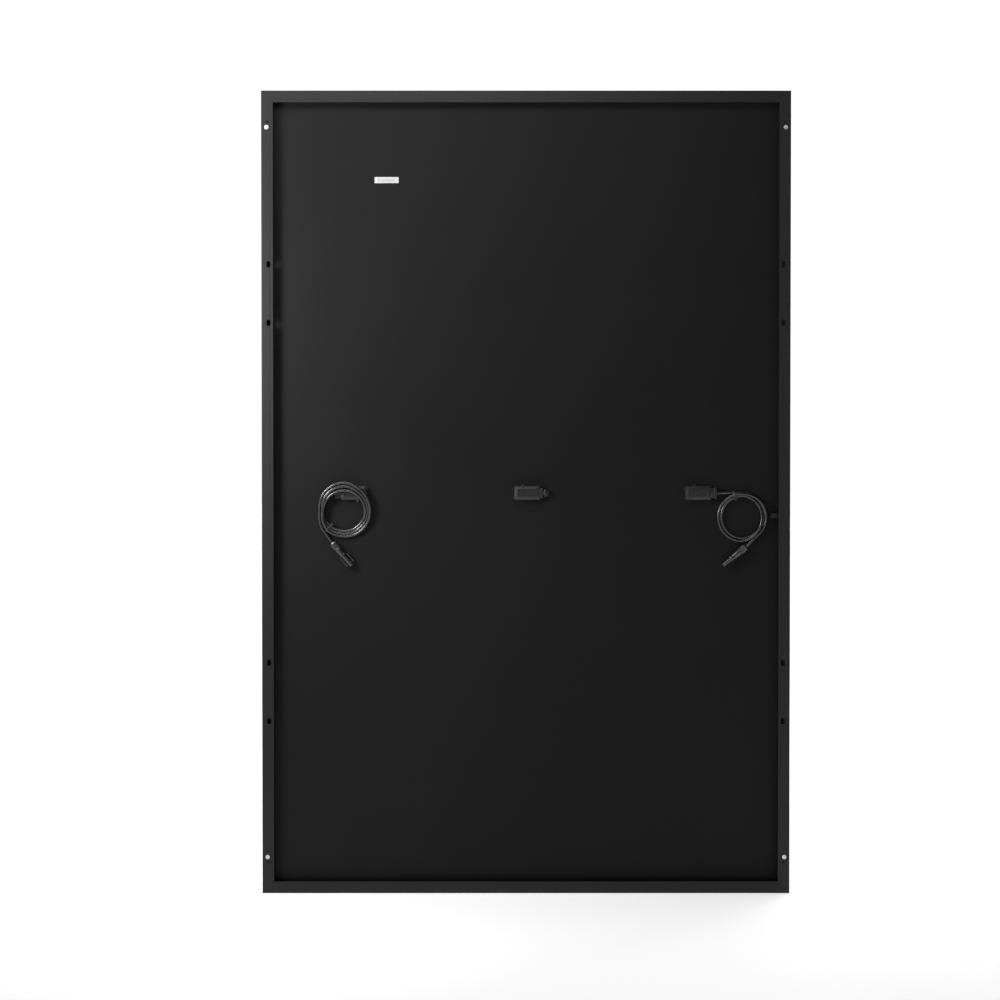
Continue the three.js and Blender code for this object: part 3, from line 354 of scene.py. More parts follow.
class Solid:
    """Closed shells in a local frame of millimetres, gathered into one piece."""

    def __init__(self, matrix=None):
        self.matrix = matrix or Matrix.Identity(4)
        self.points = []
        self.faces = []

    def loft(self, rings):
        """A closed skin through rings of equal count, capped at both ends."""
        first = len(self.points)
        count = len(rings[0])
        for ring in rings:
            self.points += [tuple(p) for p in ring]
        for r in range(len(rings) - 1):
            for i in range(count):
                j = (i + 1) % count
                a, b = first + r * count, first + (r + 1) * count
                self.faces.append((a + i, a + j, b + j, b + i))
        self.faces.append(tuple(first + i for i in reversed(range(count))))
        last = first + (len(rings) - 1) * count
        self.faces.append(tuple(last + i for i in range(count)))
        return self

    def hoop(self, rings):
        """A closed ring-shaped skin: the rings run round and the last meets the first."""
        first = len(self.points)
        count, total = len(rings[0]), len(rings)
        for ring in rings:
            self.points += [tuple(p) for p in ring]
        for r in range(total):
            s = (r + 1) % total
            for i in range(count):
                j = (i + 1) % count
                a, b = first + r * count, first + s * count
                self.faces.append((a + i, a + j, b + j, b + i))
        return self

    def block(self, x0, x1, h0, h1, z0, z1, edge=0.3):
        """A block between two places along x, in height and along z, with softened edges."""
        width, depth = x1 - x0, z1 - z0
        centre = ((x0 + x1) / 2, (z0 + z1) / 2)
        e = min(edge, width / 3, depth / 3, (h1 - h0) / 3)
        half_way = e * 0.3  # the middle point of a rounded edge
        steps = [(e, h0), (half_way, h0 + half_way), (0, h0 + e), (0, h1 - e), (half_way, h1 - half_way), (e, h1)]
        return self.stack([
            (width - 2 * inset, depth - 2 * inset, max(e - inset * 0.5, LEAST_CORNER), h) for inset, h in steps
        ], centre)

    def stack(self, steps, centre=(0, 0)):
        """Rounded rectangles (length, width, corner, height) one over the other."""
        return self.loft([
            [(centre[0] + x, -h, centre[1] + z) for x, z in rounded(length, width, corner)]
            for length, width, corner, h in steps
        ])

    def along(self, steps, height=0.0):
        """Rounded rectangles across x: (x, size in height, size in z, corner)."""
        return self.loft([
            [(x, -height + v, z) for z, v in rounded(depth, tall, corner)] for x, tall, depth, corner in steps
        ])

    def turned(self, profile, sides=40):
        """A body about the local x axis from (x, radius) pairs."""
        angles = [2 * math.pi * i / sides for i in range(sides)]
        return self.loft([[(x, r * math.cos(a), r * math.sin(a)) for a in angles] for x, r in profile])

    def tube(self, profile, sides=40, shape=None, height=0.0):
        """A hollow body about an x axis: a closed profile of (x, radius); shape scales the radius."""
        rings = []
        for i in range(sides):
            a = 2 * math.pi * i / sides
            scaled = [(x, r * shape(a, x, r) if shape else r) for x, r in profile]
            rings.append([(x, r * math.cos(a) - height, r * math.sin(a)) for x, r in scaled])
        return self.hoop(rings)

    def piece(self, name, material, body="panel", slot=None, angle=35, replaces=()):
        mesh = bpy.data.meshes.new(name)
        mesh.from_pydata([self.matrix @ (Vector(p) * MM) for p in self.points], [], self.faces)
        shell = bmesh.new()
        shell.from_mesh(mesh)
        bmesh.ops.recalc_face_normals(shell, faces=shell.faces)
        shell.to_mesh(mesh)
        shell.free()
        mesh.materials.append(material)
        shade(mesh, angle)
        made = bpy.data.objects.new(name, mesh)
        scene.collection.objects.link(made)
        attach(made, body)
        if replaces:
            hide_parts(*replaces)
        return made


def rounded(length, width, corner, steps=5):
    """The outline of a rounded rectangle, anticlockwise."""
    corner = max(min(corner, length / 2 - 0.01, width / 2 - 0.01), 0.02)
    points = []
    for cx, cz, start in ((1, 1, 0), (-1, 1, 90), (-1, -1, 180), (1, -1, 270)):
        for i in range(steps + 1):
            a = math.radians(start + 90 * i / steps)
            points.append((
                cx * (length / 2 - corner) + corner * math.cos(a),
                cz * (width / 2 - corner) + corner * math.sin(a),
            ))
    return points


def box_frame(line, turned):
    """The frame of a junction box: x to its outlet end, -y up from the backsheet."""
    facing = -1 if turned else 1
    place = Matrix.Translation(Vector((line + facing * BOX_SHIFT, BACK, 0)) * MM)
    return place @ Matrix.Rotation(math.pi if turned else 0, 4, "Y")


LEFT_BOX = box_frame(-LINE_SPACING, True)
MIDDLE_BOX = box_frame(0, False)
RIGHT_BOX = box_frame(LINE_SPACING, False)

# ---------- leads ----------
# Routes are in the lead's own frame: x from the middle of its junction box, height above the backsheet, z.

LEAD_DIAMETER = 5.8
LEAD_START = 25.75  # its end inside the outlet
RIGHT_CENTRE = (94.8, -51.3)
LEFT_CENTRE = (-19.9, -39.0)
RIGHT_IN = [
    (25.75, 5.4, 0), (31.85, 5.4, 0), (37.45, 5.4, 0), (43, 5.4, 0), (49, 5.2, 0), (56, 4.7, 0.1), (63, 4.1, 0.3),
    (70, 3.7, 0.4), (77, 3.6, 0.5), (85, 3.5, 0.5),
]
# (degrees clockwise from the top, radius, height)
RIGHT_TURNS = [
    (0, 51.8, 3.4), (45, 49.4, 3.2), (90, 46.7, 3.1), (135, 45.8, 3.1), (180, 46.0, 3.1), (225, 45.2, 3.1),
    (270, 44.7, 3.2), (315, 44.9, 3.7), (342, 45.1, 4.1), (360, 45.2, 3.9), (405, 43.2, 4.9), (450, 42.2, 6.9),
    (495, 45.4, 8.9), (520, 49.3, 7.4), (545, 52.3, 4.7), (585, 52.0, 3.2), (630, 51.4, 3.1), (670, 51.0, 3.8),
    (702, 50.0, 7.5), (720, 48.7, 8.6), (765, 50.2, 8.9), (810, 51.2, 6.9), (850, 51.5, 6.2), (864, 52.0, 5.9),
]
RIGHT_OUT = [(120.1, 6.0, -98.6), (114.8, 6.6, -104.0), (109.6, 7.6, -109.2), (103.9, 8.7, -114.8)]
LEFT_IN = [
    (-25.75, 5.4, 0), (-31.85, 5.4, 0), (-37.45, 5.4, 0), (-43, 5.4, -0.1), (-49, 5.3, -1.6), (-55, 5.1, -4.4),
    (-60.5, 4.8, -8.8),
]
# (degrees anticlockwise from the right, radius, height)
LEFT_TURNS = [
    (148, 50.6, 4.4), (165, 50.4, 3.6), (185, 49.0, 3.1), (205, 45.6, 3.3), (227, 43.6, 5.0), (270, 43.2, 4.6),
    (315, 43.6, 7.4), (360, 44.6, 11.8), (405, 44.6, 16.2), (450, 44.5, 18.0), (495, 44.8, 15.8), (540, 46.0, 8.9),
    (565, 48.7, 8.0), (587, 49.3, 6.7), (630, 49.0, 4.7), (675, 49.4, 5.9), (720, 49.8, 9.2), (765, 51.0, 15.0),
    (810, 53.4, 19.0), (855, 51.8, 17.4), (900, 46.8, 14.8), (925, 51.0, 13.4), (947, 54.7, 9.2), (990, 54.8, 4.1),
    (1035, 55.2, 6.6), (1080, 55.0, 12.0), (1125, 57.2, 17.3), (1170, 61.0, 18.9), (1215, 58.5, 14.8),
    (1260, 53.2, 11.6), (1280, 56.6, 9.8), (1297, 60.6, 8.6),
]
LEFT_OUT = [(-60.9, 8.2, -85.9), (-53.7, 8.4, -96.0), (-46.4, 8.7, -106.3)]
COIL_STEP = 15  # degrees between a coil's points
KEY_SLACK = 0.42  # 0.5 would be a plain Catmull-Rom spline
ROUTE_STEP = 2.5


def hermite(p1, p2, m1, m2, t):
    """The cubic from p1 to p2 with slopes m1 and m2."""
    return (
        (2 * t**3 - 3 * t**2 + 1) * p1
        + (t**3 - 2 * t**2 + t) * m1
        + (3 * t**2 - 2 * t**3) * p2
        + (t**3 - t**2) * m2
    )


def slack_spline(p0, p1, p2, p3, t):
    """Between p1 and p2, with slackened slopes, so that close keys don't overshoot."""
    return hermite(p1, p2, (p2 - p0) * KEY_SLACK, (p3 - p1) * KEY_SLACK, t)


def coiled(turns, centre, clockwise):
    """Points along a coil, from smoothly joined keys."""
    points = []
    last = len(turns) - 1
    for k in range(last):
        keys = [turns[max(k - 1, 0)], turns[k], turns[k + 1], turns[min(k + 2, last)]]
        start, end = keys[1][0], keys[2][0]
        steps = max(1, round((end - start) / COIL_STEP))
        for i in range(steps + (k + 1 == last)):
            t = i / steps
            angle = start + (end - start) * t
            radius, height = (slack_spline(*(key[n] for key in keys), t) for n in (1, 2))
            a = math.radians(90 - angle if clockwise else angle)
            points.append((centre[0] + radius * math.cos(a), height, centre[1] + radius * math.sin(a)))
    return points


def smooth_line(points):
    """The same route on a centripetal spline, with evenly spaced points."""
    vectors = [Vector(p) for p in points]
    vectors = [vectors[0] * 2 - vectors[1]] + vectors + [vectors[-1] * 2 - vectors[-2]]
    line = []
    for i in range(1, len(vectors) - 2):
        p0, p1, p2, p3 = vectors[i - 1 : i + 3]
        d1, d2, d3 = (math.sqrt(max((b - a).length, 1e-6)) for a, b in ((p0, p1), (p1, p2), (p2, p3)))
        m1 = ((p1 - p0) / d1 - (p2 - p0) / (d1 + d2) + (p2 - p1) / d2) * d2
        m2 = ((p2 - p1) / d2 - (p3 - p1) / (d2 + d3) + (p3 - p2) / d3) * d2
        count = max(1, round((p2 - p1).length / ROUTE_STEP))
        line += [hermite(p1, p2, m1, m2, k / count) for k in range(count)]
    line.append(vectors[-2])
    return line


def lead(side, line_x, route):
    """A cable through a route, as one open spline with a round section."""
    name = f"lead_{side}"
    curve = bpy.data.curves.new(name, "CURVE")
    curve.dimensions = "3D"
    curve.bevel_depth = LEAD_DIAMETER / 2 * MM
    curve.bevel_resolution = 6
    curve.use_fill_caps = True
    spline = curve.splines.new("POLY")
    spline.points.add(len(route) - 1)
    for point, (x, h, z) in zip(spline.points, route):
        point.co = ((line_x + x) * MM, (BACK - h) * MM, z * MM, 1)
    spline.use_smooth = True
    curve.materials.append(JACKET)
    made = bpy.data.objects.new(name, curve)
    scene.collection.objects.link(made)
    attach(made, "panel")
    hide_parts(*(f"lead_{side}_{part}" for part in ("outlet", "coil", "tail")))
    return made


right_route = smooth_line(RIGHT_IN + coiled(RIGHT_TURNS, RIGHT_CENTRE, clockwise=True) + RIGHT_OUT)
left_route = smooth_line(LEFT_IN + coiled(LEFT_TURNS, LEFT_CENTRE, clockwise=False) + LEFT_OUT)
RIGHT_LINE_X = LINE_SPACING + BOX_SHIFT
LEFT_LINE_X = -LINE_SPACING - BOX_SHIFT
lead_right = lead("right", RIGHT_LINE_X, right_route)
lead_left = lead("left", LEFT_LINE_X, left_route)


# ---------- ties ----------

RIGHT_TIE_AT, LEFT_TIE_AT = 110, 227  # degrees anticlockwise from the right
TIE_WIDTH = 3.6
TIE_BAND = 0.8
TIE_GAP = 0.1  # between the band and the jackets
TIE_SOFT = 0.25  # the band's bevelled edge
TIE_SIDES = 48
TIE_LIFT = 0.12  # the band's least height above the backsheet
TIE_REACH = 57.5  # strands farther from the coil's middle aren't caught
HEAD_INSET, HEAD_RISE = 1.6, 2.2  # the head's middle, from the band and from the innermost strand
# (size along the radius, size in height, width, then the place from the head's middle along the radius and up)
TIE_HEAD = (4.4, 4.6, 5.6, 0, 0)
TIE_TAIL = (1.0, 7.5, TIE_WIDTH, -0.6, 3.4)


def strands_at(route, centre, degrees):
    """(radius, height) of every strand that crosses a half plane through the coil's axis."""
    a = math.radians(degrees)
    across, along = Vector((math.cos(a), math.sin(a))), Vector((-math.sin(a), math.cos(a)))
    found = []
    for p, q in zip(route, route[1:]):
        u, v = (Vector((s[0] - centre[0], s[2] - centre[1])) for s in (p, q))
        s0, s1 = u.dot(along), v.dot(along)
        if s0 * s1 < 0 and u.dot(across) > 0:
            t = s0 / (s0 - s1)
            found.append((u.dot(across) * (1 - t) + v.dot(across) * t, p[1] * (1 - t) + q[1] * t))
    return found


def cable_tie(name, node, line_x, route, centre, degrees):
    """A nylon tie drawn tight round the strands at one angle, with its locking head and a trimmed tail."""
    strands = [s for s in strands_at(route, centre, degrees) if s[0] < TIE_REACH]
    a = math.radians(degrees)
    radial, tangent = Vector((math.cos(a), 0, math.sin(a))), Vector((-math.sin(a), 0, math.cos(a)))

    def point(radius, height, shift):
        flat = radial * radius + tangent * shift
        return (centre[0] + flat.x, -height, centre[1] + flat.z)

    tie = Solid(Matrix.Translation(Vector((line_x, BACK, 0)) * MM))
    inner = LEAD_DIAMETER / 2 + TIE_GAP
    outer = inner + TIE_BAND
    half = TIE_WIDTH / 2
    section = (
        (inner, -half + TIE_SOFT), (inner, half - TIE_SOFT), (inner + TIE_SOFT, half), (outer - TIE_SOFT, half),
        (outer, half - TIE_SOFT), (outer, -half + TIE_SOFT), (outer - TIE_SOFT, -half), (inner + TIE_SOFT, -half),
    )
    rings = []
    for i in range(TIE_SIDES):
        b = 2 * math.pi * i / TIE_SIDES
        out, up = math.cos(b), math.sin(b)
        r, h = max(strands, key=lambda s: s[0] * out + s[1] * up)
        rings.append([point(r + d * out, max(h + d * up, TIE_LIFT), shift) for d, shift in section])
    tie.hoop(rings)
    innermost = min(strands, key=lambda s: s[0])
    head_r, head_h = innermost[0] - outer - HEAD_INSET, innermost[1] + HEAD_RISE
    for size_r, size_h, width, dr, dh in (TIE_HEAD, TIE_TAIL):
        rings = []
        for share, inset in ((-0.5, 0.5), (-0.42, 0.1), (0.42, 0.1), (0.5, 0.5)):
            outline = rounded(width - 2 * inset, size_r - 2 * min(inset, size_r / 3), 0.6)
            rings.append([point(head_r + dr + v, head_h + dh + share * size_h, s) for s, v in outline])
        tie.loft(rings)
    return tie.piece(name, TIE_NYLON, slot="tie_plastic", replaces=[node])


tie_right = cable_tie("tie_right", "cable_tie_right", RIGHT_LINE_X, right_route, RIGHT_CENTRE, RIGHT_TIE_AT)
tie_left = cable_tie("tie_left", "cable_tie_left", LEFT_LINE_X, left_route, LEFT_CENTRE, LEFT_TIE_AT)

# ---------- junction boxes ----------

FOOT = 0.85  # the boxes stand this high, on the adhesive
WALL = 1.8
SHOULDER_HALF = 11.0  # half the cable shoulder's size along z
SHOULDER_MIDDLE = FOOT + 4.5
RIB_PLACES = (-20.0, -12.5, 4.5, 12.0, 19.5)
SHOULDER_RIBS = (-8.2, -4.9, 4.9, 8.2)
LUG_REACH = 4  # beyond the blind end
END_LUGS = ((8.0, 12.0, 4), (-12.0, -8.0, 2.4))  # (from, to along z, height)
LID_UNDER = 8.78
LID_BEVEL = 5.8
LID_SINK = 1.0  # the panel's depth below the lid's edge
CATCH_PLACE = -8.8
HINGE_PLACES = (-16.0, 16.0)
CAP_RIBS = (-9.6, -7.2, -4.8, 4.8, 7.2, 9.6)
JACKET_FIT = 2.95  # the bush's radius on the cable
PLUG_NECK = 2.8  # from the outlet's face to the blanking plug's cap


def box_shell(name, matrix, has_outlet):
    """The base of a junction box: an open cup with a rolled rim, side ribs, end lugs and a cable shoulder."""
    base = Solid(matrix)
    length, width = BOX_LENGTH, BOX_WIDTH
    rim = BASE_TOP
    inner_length, inner_width = length - 2 * WALL, width - 2 * WALL
    base.stack([
        (length - 1.0, width - 1.0, 2.6, FOOT), (length - 0.2, width - 0.2, 2.9, FOOT + 0.35),
        (length, width, 3.0, FOOT + 1.0), (length, width, 3.0, rim - 2.0),
        (length - 0.5, width - 0.5, 2.8, rim - 1.9), (length - 0.5, width - 0.5, 2.8, rim - 0.5),
        (length - 0.9, width - 0.9, 2.6, rim - 0.1), (length - 1.3, width - 1.3, 2.4, rim),
        (inner_length + 0.5, inner_width + 0.5, 1.4, rim), (inner_length, inner_width, 1.2, rim - 0.3),
        (inner_length, inner_width, 1.2, FOOT + 1.2),
    ])
    for z in (-1, 1):
        low, high = sorted((z * (width / 2 - 0.4), z * (width / 2 + 0.55)))
        for x in RIB_PLACES:
            base.block(x - 0.7, x + 0.7, FOOT + 0.8, rim - 2.3, low, high, 0.25)
    base.along([
        (BOX_END - 1.0, 8.6, 2 * SHOULDER_HALF, 1.6), (BOX_END + 0.4, 8.6, 2 * SHOULDER_HALF, 1.6),
        (BOX_END + 1.0, 9.0, 2 * SHOULDER_HALF, 2.2), (SHOULDER_END - 0.5, 9.0, 2 * SHOULDER_HALF, 2.2),
        (SHOULDER_END, 8.2, 2 * SHOULDER_HALF - 0.8, 1.8),
    ], SHOULDER_MIDDLE)
    for z in SHOULDER_RIBS:
        base.block(BOX_END + 1.2, SHOULDER_END - 0.8, 9.2, 10.0, z - 0.5, z + 0.5, 0.2)
    for z0, z1, tall in END_LUGS:
        base.block(-BOX_END - LUG_REACH, -BOX_END + 0.6, FOOT, FOOT + tall, z0, z1, 0.5)
    if has_outlet:
        mouth = (SHOULDER_END - 3, SHOULDER_END + 0.2)
        base.tube([(mouth[0], 3.3), (mouth[1], 3.3), (mouth[1], 4.6), (mouth[0], 4.6)], height=OUTLET_HEIGHT)
    base.piece(f"{name}_shell", BOX_BLACK, slot="box_plastic", replaces=[f"{name}_base"])


def box_cover(name, matrix, body):
    """The lid: a wide chamfer round a sunk panel, a catch tab above and two hinge knuckles below."""
    lid = Solid(matrix)
    length, width = BOX_LENGTH, BOX_WIDTH
    top_length, top_width = length - 2 * LID_BEVEL, width - 2 * LID_BEVEL
    panel = LID_TOP - LID_SINK
    lid.stack([
        (length - 4.4, width - 4.4, 1.0, LID_UNDER - 1.9), (length - 4.2, width - 4.2, 1.1, LID_UNDER),
        (length - 0.4, width - 0.4, 2.8, LID_UNDER), (length, width, 3.0, LID_UNDER + 0.25),
        (length, width, 3.0, LID_UNDER + 0.55), (length - 0.3, width - 0.3, 2.9, LID_UNDER + 0.8),
        (top_length + 0.6, top_width + 0.6, 1.6, LID_TOP - 0.18),
        (top_length - 0.4, top_width - 0.4, 1.3, LID_TOP),
        (top_length - 2.2, top_width - 2.2, 1.2, LID_TOP), (top_length - 3.6, top_width - 3.6, 1.0, panel),
    ])
    for x in (-11.5, 11.5):
        lid.block(x - 3.2, x + 3.2, panel - 0.2, panel + 0.35, -1.1, 1.1, 0.2)
    for x in (-1.5, 1.5):
        lid.block(x - 0.35, x + 0.35, panel - 0.2, panel + 0.25, -4.6, 4.6, 0.1)
    x, z = CATCH_PLACE, width / 2
    lid.block(x - 3.25, x + 3.25, LID_UNDER + 0.1, LID_UNDER + 2.0, z - 4.0, z + 5.5, 0.45)
    for step in (1.6, 3.0, 4.4):
        grip = z + step
        lid.block(x - 2.5, x + 2.5, LID_UNDER + 1.8, LID_UNDER + 2.35, grip - 0.3, grip + 0.3, 0.15)
    for x in HINGE_PLACES:
        lid.block(x - 3.0, x + 3.0, LID_UNDER - 1.2, LID_UNDER + 1.5, -width / 2 - 0.75, -width / 2 + 1.2, 0.5)
    for x in (-length / 2, length / 2):
        low, high = sorted((x - math.copysign(2.2, x), x + math.copysign(0.02, x)))
        lid.block(low, high, LID_UNDER + 0.1, LID_UNDER + 0.9, -3.0, 3.0, 0.2)
    lid.piece(f"{name}_cover", LID_BLACK, body, "box_plastic", replaces=[f"{name}_lid"])


def box_pad(name, matrix):
    """Adhesive squeezed out round the foot of the box in an uneven bead."""
    pad = Solid(matrix)
    rings = []
    for spread_by, h in ((0.7, 0.03), (1.0, 0.2), (0.9, 0.55), (0.2, 0.78)):
        outline = rounded(BOX_LENGTH + 2 * spread_by, BOX_WIDTH + 2 * spread_by, 3.0 + spread_by, 14)
        ring = []
        for i, (x, z) in enumerate(outline):
            wobble = 1 + 0.006 * math.sin(i * 1.9) + 0.004 * math.sin(i * 0.7 + 1)
            ring.append((x * (1 + (wobble - 1) * 0.5), -h, z * wobble))  # half as uneven along the box
        rings.append(ring)
    pad.loft(rings)
    pad.piece(f"{name}_bead", PAD_BLACK, slot="seal_silicone", replaces=[f"{name}_adhesive"])


def end_cap(name, matrix, node):
    """The clamp cap that closes the cable shoulder, ribbed for grip, with a tapered bush round the cable."""
    cap = Solid(matrix)
    cap.along([
        (CAP_START, 9.0, 24.2, 2.2), (CAP_START + 0.4, 9.9, 25.2, 2.8), (CAP_START + 0.9, 10.2, 25.5, 3.0),
        (CAP_END - 0.9, 10.2, 25.5, 3.0), (CAP_END - 0.3, 9.8, 25.0, 2.7), (CAP_END, 9.0, 24.2, 2.3),
    ], OUTLET_HEIGHT)
    for z in CAP_RIBS:
        cap.block(CAP_START + 1.0, CAP_END - 0.9, 10.0, 10.75, z - 0.55, z + 0.55, 0.2)
    cap.piece(f"{name}_gland", LID_BLACK, slot="box_plastic", replaces=[node])
    bush = Solid(matrix @ Matrix.Translation(Vector((0, -OUTLET_HEIGHT, 0)) * MM))
    bush.tube([
        (CAP_END - 0.8, JACKET_FIT), (CAP_END - 0.8, 5.0), (CAP_END + 0.6, 4.8), (CAP_END + 1.4, 4.2),
        (CAP_END + 1.8, 4.2), (CAP_END + 2.6, 3.9), (CAP_END + 3.4, 3.7), (CAP_END + 3.8, 3.7),
        (CAP_END + 5.4, 3.3), (CAP_END + 7.6, 3.1), (CAP_END + 7.8, JACKET_FIT),
    ])
    return bush.piece(f"{name}_bush", PAD_BLACK, slot="seal_silicone")


def blanking_plug(matrix):
    """The plug in the middle box's spare outlet: a neck with a seal and a winged cap."""
    plug = Solid(matrix @ Matrix.Translation(Vector((0, -OUTLET_HEIGHT, 0)) * MM))
    neck_end = CAP_START + PLUG_NECK
    plug.turned([
        (LEAD_START, 2.6), (LEAD_START, 2.85), (CAP_START - 0.3, 2.9), (CAP_START, 4.8), (neck_end, 4.8),
        (neck_end, 3.0),
    ])
    plug.turned([(CAP_START + 0.9, 4.6), (CAP_START + 1.1, 5.1), (CAP_START + 1.9, 5.1), (CAP_START + 2.1, 4.6)])
    plug.along([
        (neck_end - 0.4, 9.0, 15.0, 2.4), (neck_end + 0.1, 9.9, 16.0, 2.9), (neck_end + 0.6, 10.3, 16.5, 3.0),
        (neck_end + 3.4, 10.3, 16.5, 3.0), (neck_end + 4.0, 9.4, 14.6, 3.0), (neck_end + 8.2, 8.8, 13.2, 3.0),
        (neck_end + 8.8, 8.2, 12.6, 2.8), (neck_end + 9.0, 7.4, 11.8, 2.6),
    ])
    for z in (-4.2, 0.0, 4.2):
        plug.block(neck_end + 4.2, neck_end + 8.0, 4.3, 4.95, z - 0.6, z + 0.6, 0.2)
    plug.piece("blanking_plug", LID_BLACK, slot="box_plastic", replaces=["blank_plug"])


for box_name, box_matrix, box_body, outlet in (
    ("jbox_left", LEFT_BOX, "panel", True),
    ("jbox_middle", MIDDLE_BOX, "lid_middle", False),
    ("jbox_right", RIGHT_BOX, "lid_right", True),
):
    box_pad(box_name, box_matrix)
    box_shell(box_name, box_matrix, outlet)
    box_cover(box_name, box_matrix, box_body)
bush_left = end_cap("outlet_left", LEFT_BOX, "outlet_cap_left")
bush_right = end_cap("outlet_right", RIGHT_BOX, "outlet_cap_right")
blanking_plug(MIDDLE_BOX)

# ---------- connectors ----------

NUT_RIBS = 9
RIB_DEPTH = 0.13  # as a share of the radius
RIB_START, RIB_END = 3.0, 17.2
SKIN = 7.0  # only what is farther from the axis is shaped
FLAT_START, FLAT_END = 22, 36
FLAT_DEPTH = 0.10
MOUTH = 65.0  # the connectors' far ends, from the cable's entry
RIGHT_PLUG_TURN, LEFT_PLUG_TURN = 141.0, 48.9  # degrees about Y
# (place along the axis, radius) of the stretch that both housings share, from the bore outwards
HOUSING_BODY = [
    (4.4, 2.6), (4.4, 5.9), (20.3, 5.9), (20.3, 7.6), (20.8, 8.0), (22.0, 8.0), (23.0, 7.7), (29.0, 7.6),
    (35.0, 7.7), (36.0, 8.0), (37.2, 8.0), (38.0, 7.0),
]


def plug_frame(line_x, end, turn):
    """A connector's frame: x runs from the end of its lead to its mouth."""
    x, height, z = end
    place = Matrix.Translation(Vector((line_x + x, BACK - height, z)) * MM)
    return place @ Matrix.Rotation(math.radians(turn), 4, "Y")


RIGHT_PLUG = plug_frame(RIGHT_LINE_X, RIGHT_OUT[-1], RIGHT_PLUG_TURN)
LEFT_PLUG = plug_frame(LEFT_LINE_X, LEFT_OUT[-1], LEFT_PLUG_TURN)


def ribs(angle, x, radius):
    """The nut's grip: valleys between rounded ribs."""
    if not RIB_START <= x <= RIB_END or radius < SKIN:
        return 1.0
    return 1 - RIB_DEPTH * (0.5 - 0.5 * math.cos(NUT_RIBS * angle)) ** 3


def flats(angle, x, radius):
    """The housings' waist: two flattened sides."""
    if not FLAT_START <= x <= FLAT_END or radius < SKIN:
        return 1.0
    return 1 - FLAT_DEPTH * abs(math.sin(angle)) ** 8


def gland_nut(name, matrix, node, body):
    nut = Solid(matrix)
    nut.tube([
        (0.0, 3.25), (0.0, 5.2), (0.5, 5.9), (1.6, 6.6), (3.2, 7.3), (4.2, 7.9), (5.0, 8.0), (17.0, 8.0),
        (18.0, 7.8), (18.4, 7.35), (19.2, 7.35), (19.5, 7.6), (19.9, 7.4), (20.0, 6.4), (4.0, 6.3), (4.0, 3.25),
    ], 72, ribs)
    return nut.piece(name, NUT_BLACK, body, "box_plastic", 40, [node])


def housing(name, matrix, node, nose, bosses):
    """One connector half: the shared body with its own nose, and a raised boss of each kind on either side."""
    shell = Solid(matrix)
    shell.tube(HOUSING_BODY + nose, 56, flats)
    for side in (-1, 1):
        for x0, x1, out, half_height, half_width in bosses:
            shell.block(
                x0, x1, side * out - half_height, side * out + half_height, -half_width, half_width, 0.3
            )
    return shell.piece(name, PLUG_BLACK, slot="box_plastic", replaces=[node])


# Bosses: (start, end, distance from the axis, half height, half width)
SIDE_PAD = (25.0, 33.0, 7.4, 0.5, 1.6)
COLLAR_LUG = (40.4, 42.8, 6.4, 0.7, 1.9)
GUIDE_RAIL = (39.0, 60.0, 6.0, 0.6, 1.2)
# The slim half has a collar and two sealing rings on its nose.
SOCKET_NOSE = [
    (38.1, 5.0), (39.6, 5.0), (39.8, 6.1), (40.2, 6.4), (43.2, 6.4), (44.0, 5.9), (44.1, 4.1),
    (46.5, 4.4), (46.9, 4.8), (48.1, 4.8), (48.5, 4.4), (50.5, 4.4), (50.9, 4.8), (52.1, 4.8), (52.5, 4.4),
    (62.0, 4.3), (64.0, 4.0), (MOUTH, 3.4), (MOUTH, 2.6),
]
# The wide half opens in a round mouth, and its latch arms lie beside the rails.
PIN_NOSE = [
    (38.3, 5.9), (60.5, 5.9), (61.0, 5.95), (64.2, 5.95), (MOUTH, 5.6), (MOUTH, 5.1), (64.4, 4.9), (45.0, 4.9),
    (45.0, 2.6),
]
nut_right = gland_nut("nut_right_grip", RIGHT_PLUG, "plug_right_nut", "nut_right")
nut_left = gland_nut("nut_left_grip", LEFT_PLUG, "plug_left_nut", "nut_left")
socket = housing("socket_housing", RIGHT_PLUG, "plug_right_housing", SOCKET_NOSE, (SIDE_PAD, COLLAR_LUG))
pin = housing("pin_housing", LEFT_PLUG, "plug_left_housing", PIN_NOSE, (GUIDE_RAIL, SIDE_PAD))

# ---------- cells ----------

CELL_WIDTH, CELL_HEIGHT, CELL_CHAMFER = 182.0, 91.0, 6.0
COLUMN_PITCH, ROW_PITCH = 184.0, 92.5
ROWS = 9
MIDDLE_GAP = 14.0
WIRES = 10
WIRE_HALF, WIRE_RISE = 0.30, 0.03  # half the wires' width, and how far they stand out
WIRE_START = 3.6  # from the module's middle line
WIRE_PAST = 3.0  # beyond the column's outer end
BUS_NEAR, BUS_FAR = 1.5, 6.5  # the outer bus, beyond the same end
BUS_PAST = 150.0  # how much longer the outer bus is than the columns' pitch
cell_low, cell_high = (v.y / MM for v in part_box("cell_loop_1_upper"))
CELL_BACK, CELL_FRONT = cell_low + 0.02, cell_high - 0.05


def cell_outline(x, z, outward):
    """A half cell: its two outward corners are cut."""
    w, h, c = CELL_WIDTH / 2, CELL_HEIGHT / 2, CELL_CHAMFER
    corners = [(-w, -h), (w, -h), (w, h - c), (w - c * 0.3, h - c * 0.3), (w - c, h), (-w + c, h),
               (-w + c * 0.3, h - c * 0.3), (-w, h - c)]
    return [(x + px, z + outward * pz) for px, pz in corners]


